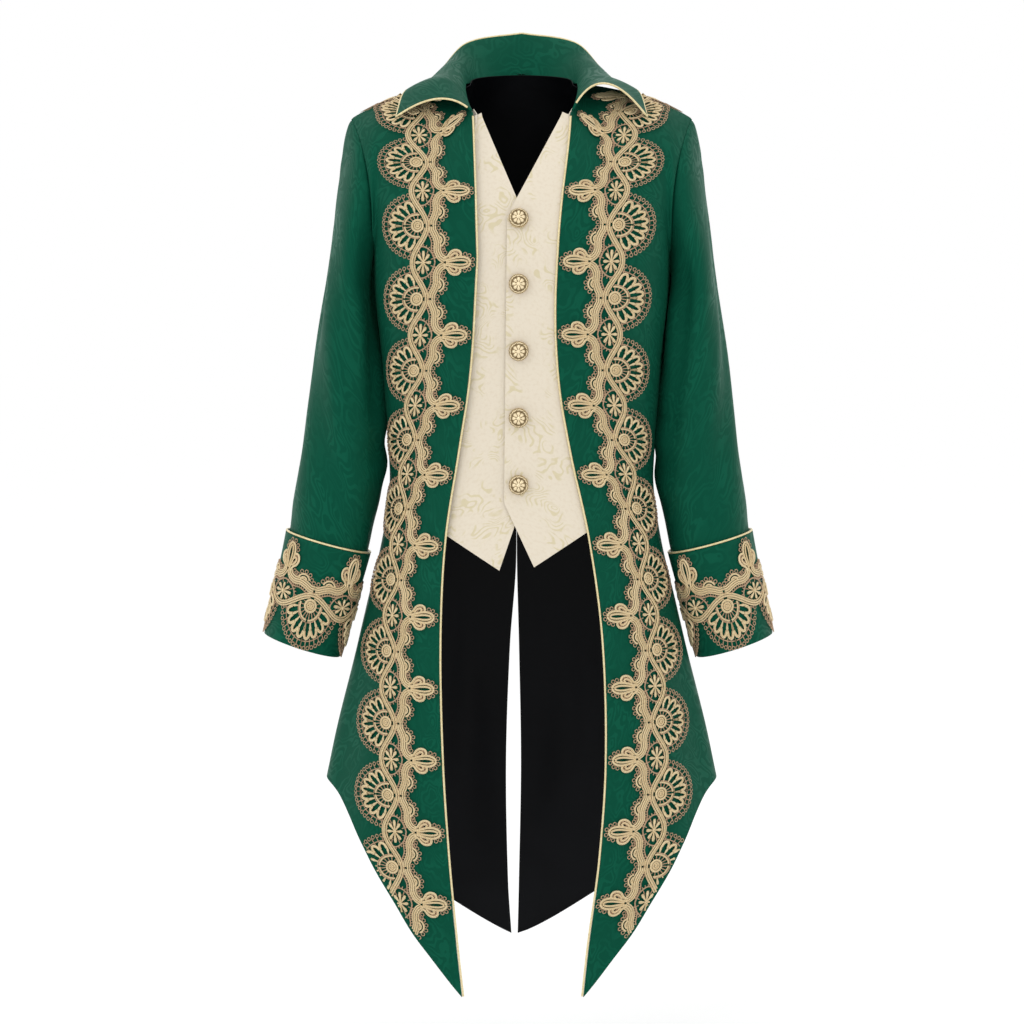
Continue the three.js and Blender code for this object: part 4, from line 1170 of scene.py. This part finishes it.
def sleeve_folds(side):
    def folds(across, down, flat):
        turn = np.arctan2(SLEEVE_MIDDLE[1] - flat[..., 1], SLEEVE_MIDDLE[0] - np.abs(flat[..., 0]))
        z = flat[..., 2]
        inner = bump(turn, 0.2, 0.9)
        front = bump(turn, 0.9, 0.8)
        long = 5.0 * np.sin(turn * 6 + z / 80 + side) * bump(z, -260, 110) * (0.25 + 0.75 * inner)
        drawn_in = 2.6 * np.sin(turn * 9 - z / 55 + 2 * side) * bump(z, -300, 130) * front
        crook = 2.6 * np.sin(z / 10 + turn * 2.2 + side) * bump(z, -450, 55) * bump(turn, 0.1, 1.0)
        outer = 2.0 * np.sin(turn * 5 - z / 60) * bump(z, -420, 130)
        full = 3.6 * inner * bump(z, -380, 95)
        return (long + drawn_in + crook + outer + full) * ease(0, 0.1, down) * (1 - ease(0.82, 0.97, down))

    return folds


def sleeve_place(side, start, stop):
    return lambda across, down: sleeve_point(side, mix(start, stop, across), down)


def tail_lining_folds(across, down, flat):
    z = flat[..., 2]
    soft = 1.6 * np.sin(across * 19 + z / 130) + 0.8 * np.sin(across * 41 - z / 90)
    return soft * ease(-560, -760, z) * (1 - ease(0.94, 1, down)) - 1.6


def waistcoat_place(side):
    columns = np.transpose(WAISTCOATS[side_name(side)])

    def place(across, down):
        inner_x, inner_z, outer_z = (np.interp(down, WAISTCOAT_AT, column) for column in columns)
        level = level_of(side, outer_z)
        under = np.clip((UNDER_SHARE - across) / UNDER_SHARE, 0, 1)
        edge = panel_point(PANELS["front"], side, np.zeros(level.shape), level)
        sewn = mirrored(panel_point(PANELS["front"], side, SEWN_ACROSS * under, level), side)
        share = np.clip((across - UNDER_SHARE) / (1 - UNDER_SHARE), 0, 1)
        opened = opening_point(mix(edge[..., 0] * side, inner_x, share), mix(outer_z, inner_z, share))
        return np.where((across <= UNDER_SHARE)[..., None], sewn, opened)

    return place


def waistcoat_folds(across, down, flat):
    x, z = flat[..., 0], flat[..., 2]
    return 0.56 * np.sin(z / 26 + x / 30) * ease(0.3, 0.7, across) * bump(z, -340, 140)


def collar_place(across, down):
    """The collar's stand goes a little way down inside the back of the neck."""
    along = 1 - 2 * across
    tucked = -STAND_TUCK * ease(0.3, 0.55, 1 - np.abs(along))
    return collar_point(along, mix(tucked, 1, down))


def yoke_place(across, down):
    """Both sides of the back's shoulders in one piece, from one armhole to the other."""
    share = np.abs(1 - 2 * across)
    left, right = (
        panel_place(PANELS["back"], side, last=YOKE_END)(share, down * YOKE_ROWS) for side in SIDES.values()
    )
    return np.where((across < 0.5)[..., None], left, right)


def cuff_place(side):
    return lambda across, down: cuff_point(side, across * 2 * math.pi, down)


def cuff_piping_line(side):
    turns = np.linspace(0, 2 * math.pi, 73)[:-1]
    rise = (PIPING_RADIUS + SEAM_GAP) / (CUFF_TOP_Z - CUFF_END_Z)
    return cuff_point(side, turns, np.full(turns.shape, -rise), -COAT_WALL / 2)


def dress():
    """Makes every piece of the coat."""
    green, ivory, black = green_brocade(), ivory_brocade(), black_satin()
    cords, metal, gold = gold_piping(), brass(), [gold_lace(), lace_thread()]
    lined = [green, black]
    satin = dict(kind="satin", slot="black_lining", wall=LINING_WALL)
    for word, side in SIDES.items():
        front, back, cuff = f"front_{word}", f"back_{word}", f"cuff_{word}"
        lace = laid_lace(f"lace_{front}", FRONT_REPEATS + 1, -LACE_PITCH, FrontMap(side), gold)
        cord = piping(f"piping_{front}", front_piping_line(side), cords)
        cloth(front, panel_place(PANELS["front"], side), 64, 150, lined,
              rests_on=[back], trims=[lace, cord], relief=front_folds)
        cloth(back, panel_place(PANELS["back"], side), 72, 150, lined, rests_on=["collar"], relief=back_folds)
        cloth(f"tail_lining_{word}", panel_place(PANELS["back"], side, top=WAIST_LEVEL, hem_rise=6), 60, 90,
              [black], rests_on=[back], lift=-LINING_DEPTH, relief=tail_lining_folds, **satin)
        for half, (start, stop) in SLEEVE_HALVES.items():
            cloth(f"{half}_{word}", sleeve_place(side, start, stop), round((stop - start) / 4), 110, lined,
                  rests_on=[back], centre=mirrored(SLEEVE_MIDDLE, side), relief=sleeve_folds(side))
        lace = laid_lace(f"lace_{cuff}", CUFF_REPEATS, 0, cuff_map(side), gold)
        cord = piping(f"piping_{cuff}", cuff_piping_line(side), cords, closed=True)
        cloth(cuff, cuff_place(side), 72, 24, lined, rests_on=[f"top_sleeve_{word}"],
              centre=mirrored(CUFF_MIDDLE, side), trims=[lace, cord], ring=True)
        cloth(f"waistcoat_{word}", waistcoat_place(side), 40, 110, [ivory], rests_on=[front],
              slot="ivory_brocade", wall=WAISTCOAT_WALL,
              lift=-(WAISTCOAT_DEPTH if side > 0 else OVERLAP_DEPTH), relief=waistcoat_folds)

    cord = piping("piping_collar", collar_piping_line(), cords)
    cloth("collar", collar_place, 120, 22, [green], rests_on=["back_left"],
          wall=COLLAR_WALL, centre=NECK_MIDDLE, trims=[cord], lift=COLLAR_WALL / 2)
    cloth("neck_lining", yoke_place, 60, 50, [black], rests_on=["back_left"], lift=-YOKE_DEPTH, **satin)
    for i, z in enumerate(BUTTON_HEIGHTS, 1):
        button(f"button_{i}", z, metal)


# Stage

CAMERA_PLACE = Vector((-0.012, -3.556, -0.258))
CAMERA_AIM = Vector((-0.012, 0, -0.535))
FLOOR_Z = -1.30
LIGHTS_AIM = Vector((0, 0, -0.55))

# Soft lights: place, size and power
LIGHTS = {
    "key": ((-2.6, -3.0, 1.4), 1.6, 20),
    "fill": ((2.8, -2.6, 0.2), 2.2, 5),
    "top": ((0.2, -0.6, 2.4), 1.8, 8),
    "rim": ((0.4, 3.0, 0.8), 2.4, 5),
}


def aimed(name, data, place, aim):
    thing = placed(name, data)
    thing.location = place
    thing.rotation_euler = (aim - Vector(place)).to_track_quat("-Z", "Y").to_euler()
    return thing


def set_camera():
    data = bpy.data.cameras.new("camera")
    data.lens = 100
    data.sensor_width = 36
    bpy.context.scene.camera = aimed("camera", data, CAMERA_PLACE, CAMERA_AIM)


def set_floor():
    bm = bmesh.new()
    bmesh.ops.create_grid(bm, x_segments=1, y_segments=1, size=30)
    bmesh.ops.translate(bm, verts=bm.verts[:], vec=(0, 0, FLOOR_Z))
    mesh = meshed("floor", bm)
    white = {"Base Color": (1, 1, 1, 1), "Roughness": 1, "Specular IOR Level": 0}
    mesh.materials.append(finish("floor", white, lambda *_: {}))
    placed("floor", mesh)


def set_stage():
    world = bpy.data.worlds.new("studio")
    world.use_nodes = True
    world.node_tree.nodes["Background"].inputs["Color"].default_value = (1, 1, 1, 1)
    world.node_tree.nodes["Background"].inputs["Strength"].default_value = 1.0
    bpy.context.scene.world = world
    for name, (place, size, power) in LIGHTS.items():
        data = bpy.data.lights.new(name, "AREA")
        data.size = size
        data.energy = power
        aimed(name, data, place, LIGHTS_AIM)
    set_floor()
    bpy.context.scene.view_settings.view_transform = "Standard"


set_camera()
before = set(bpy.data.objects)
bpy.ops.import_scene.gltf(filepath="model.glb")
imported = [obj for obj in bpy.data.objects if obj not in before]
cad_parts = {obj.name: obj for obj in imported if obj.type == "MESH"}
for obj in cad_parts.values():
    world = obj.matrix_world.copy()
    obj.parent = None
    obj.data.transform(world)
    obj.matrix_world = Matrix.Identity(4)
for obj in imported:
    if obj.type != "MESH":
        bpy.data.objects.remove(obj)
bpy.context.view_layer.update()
repeats_mesh = LaceRepeat().mesh()
dress()
set_stage()
bpy.context.view_layer.update()
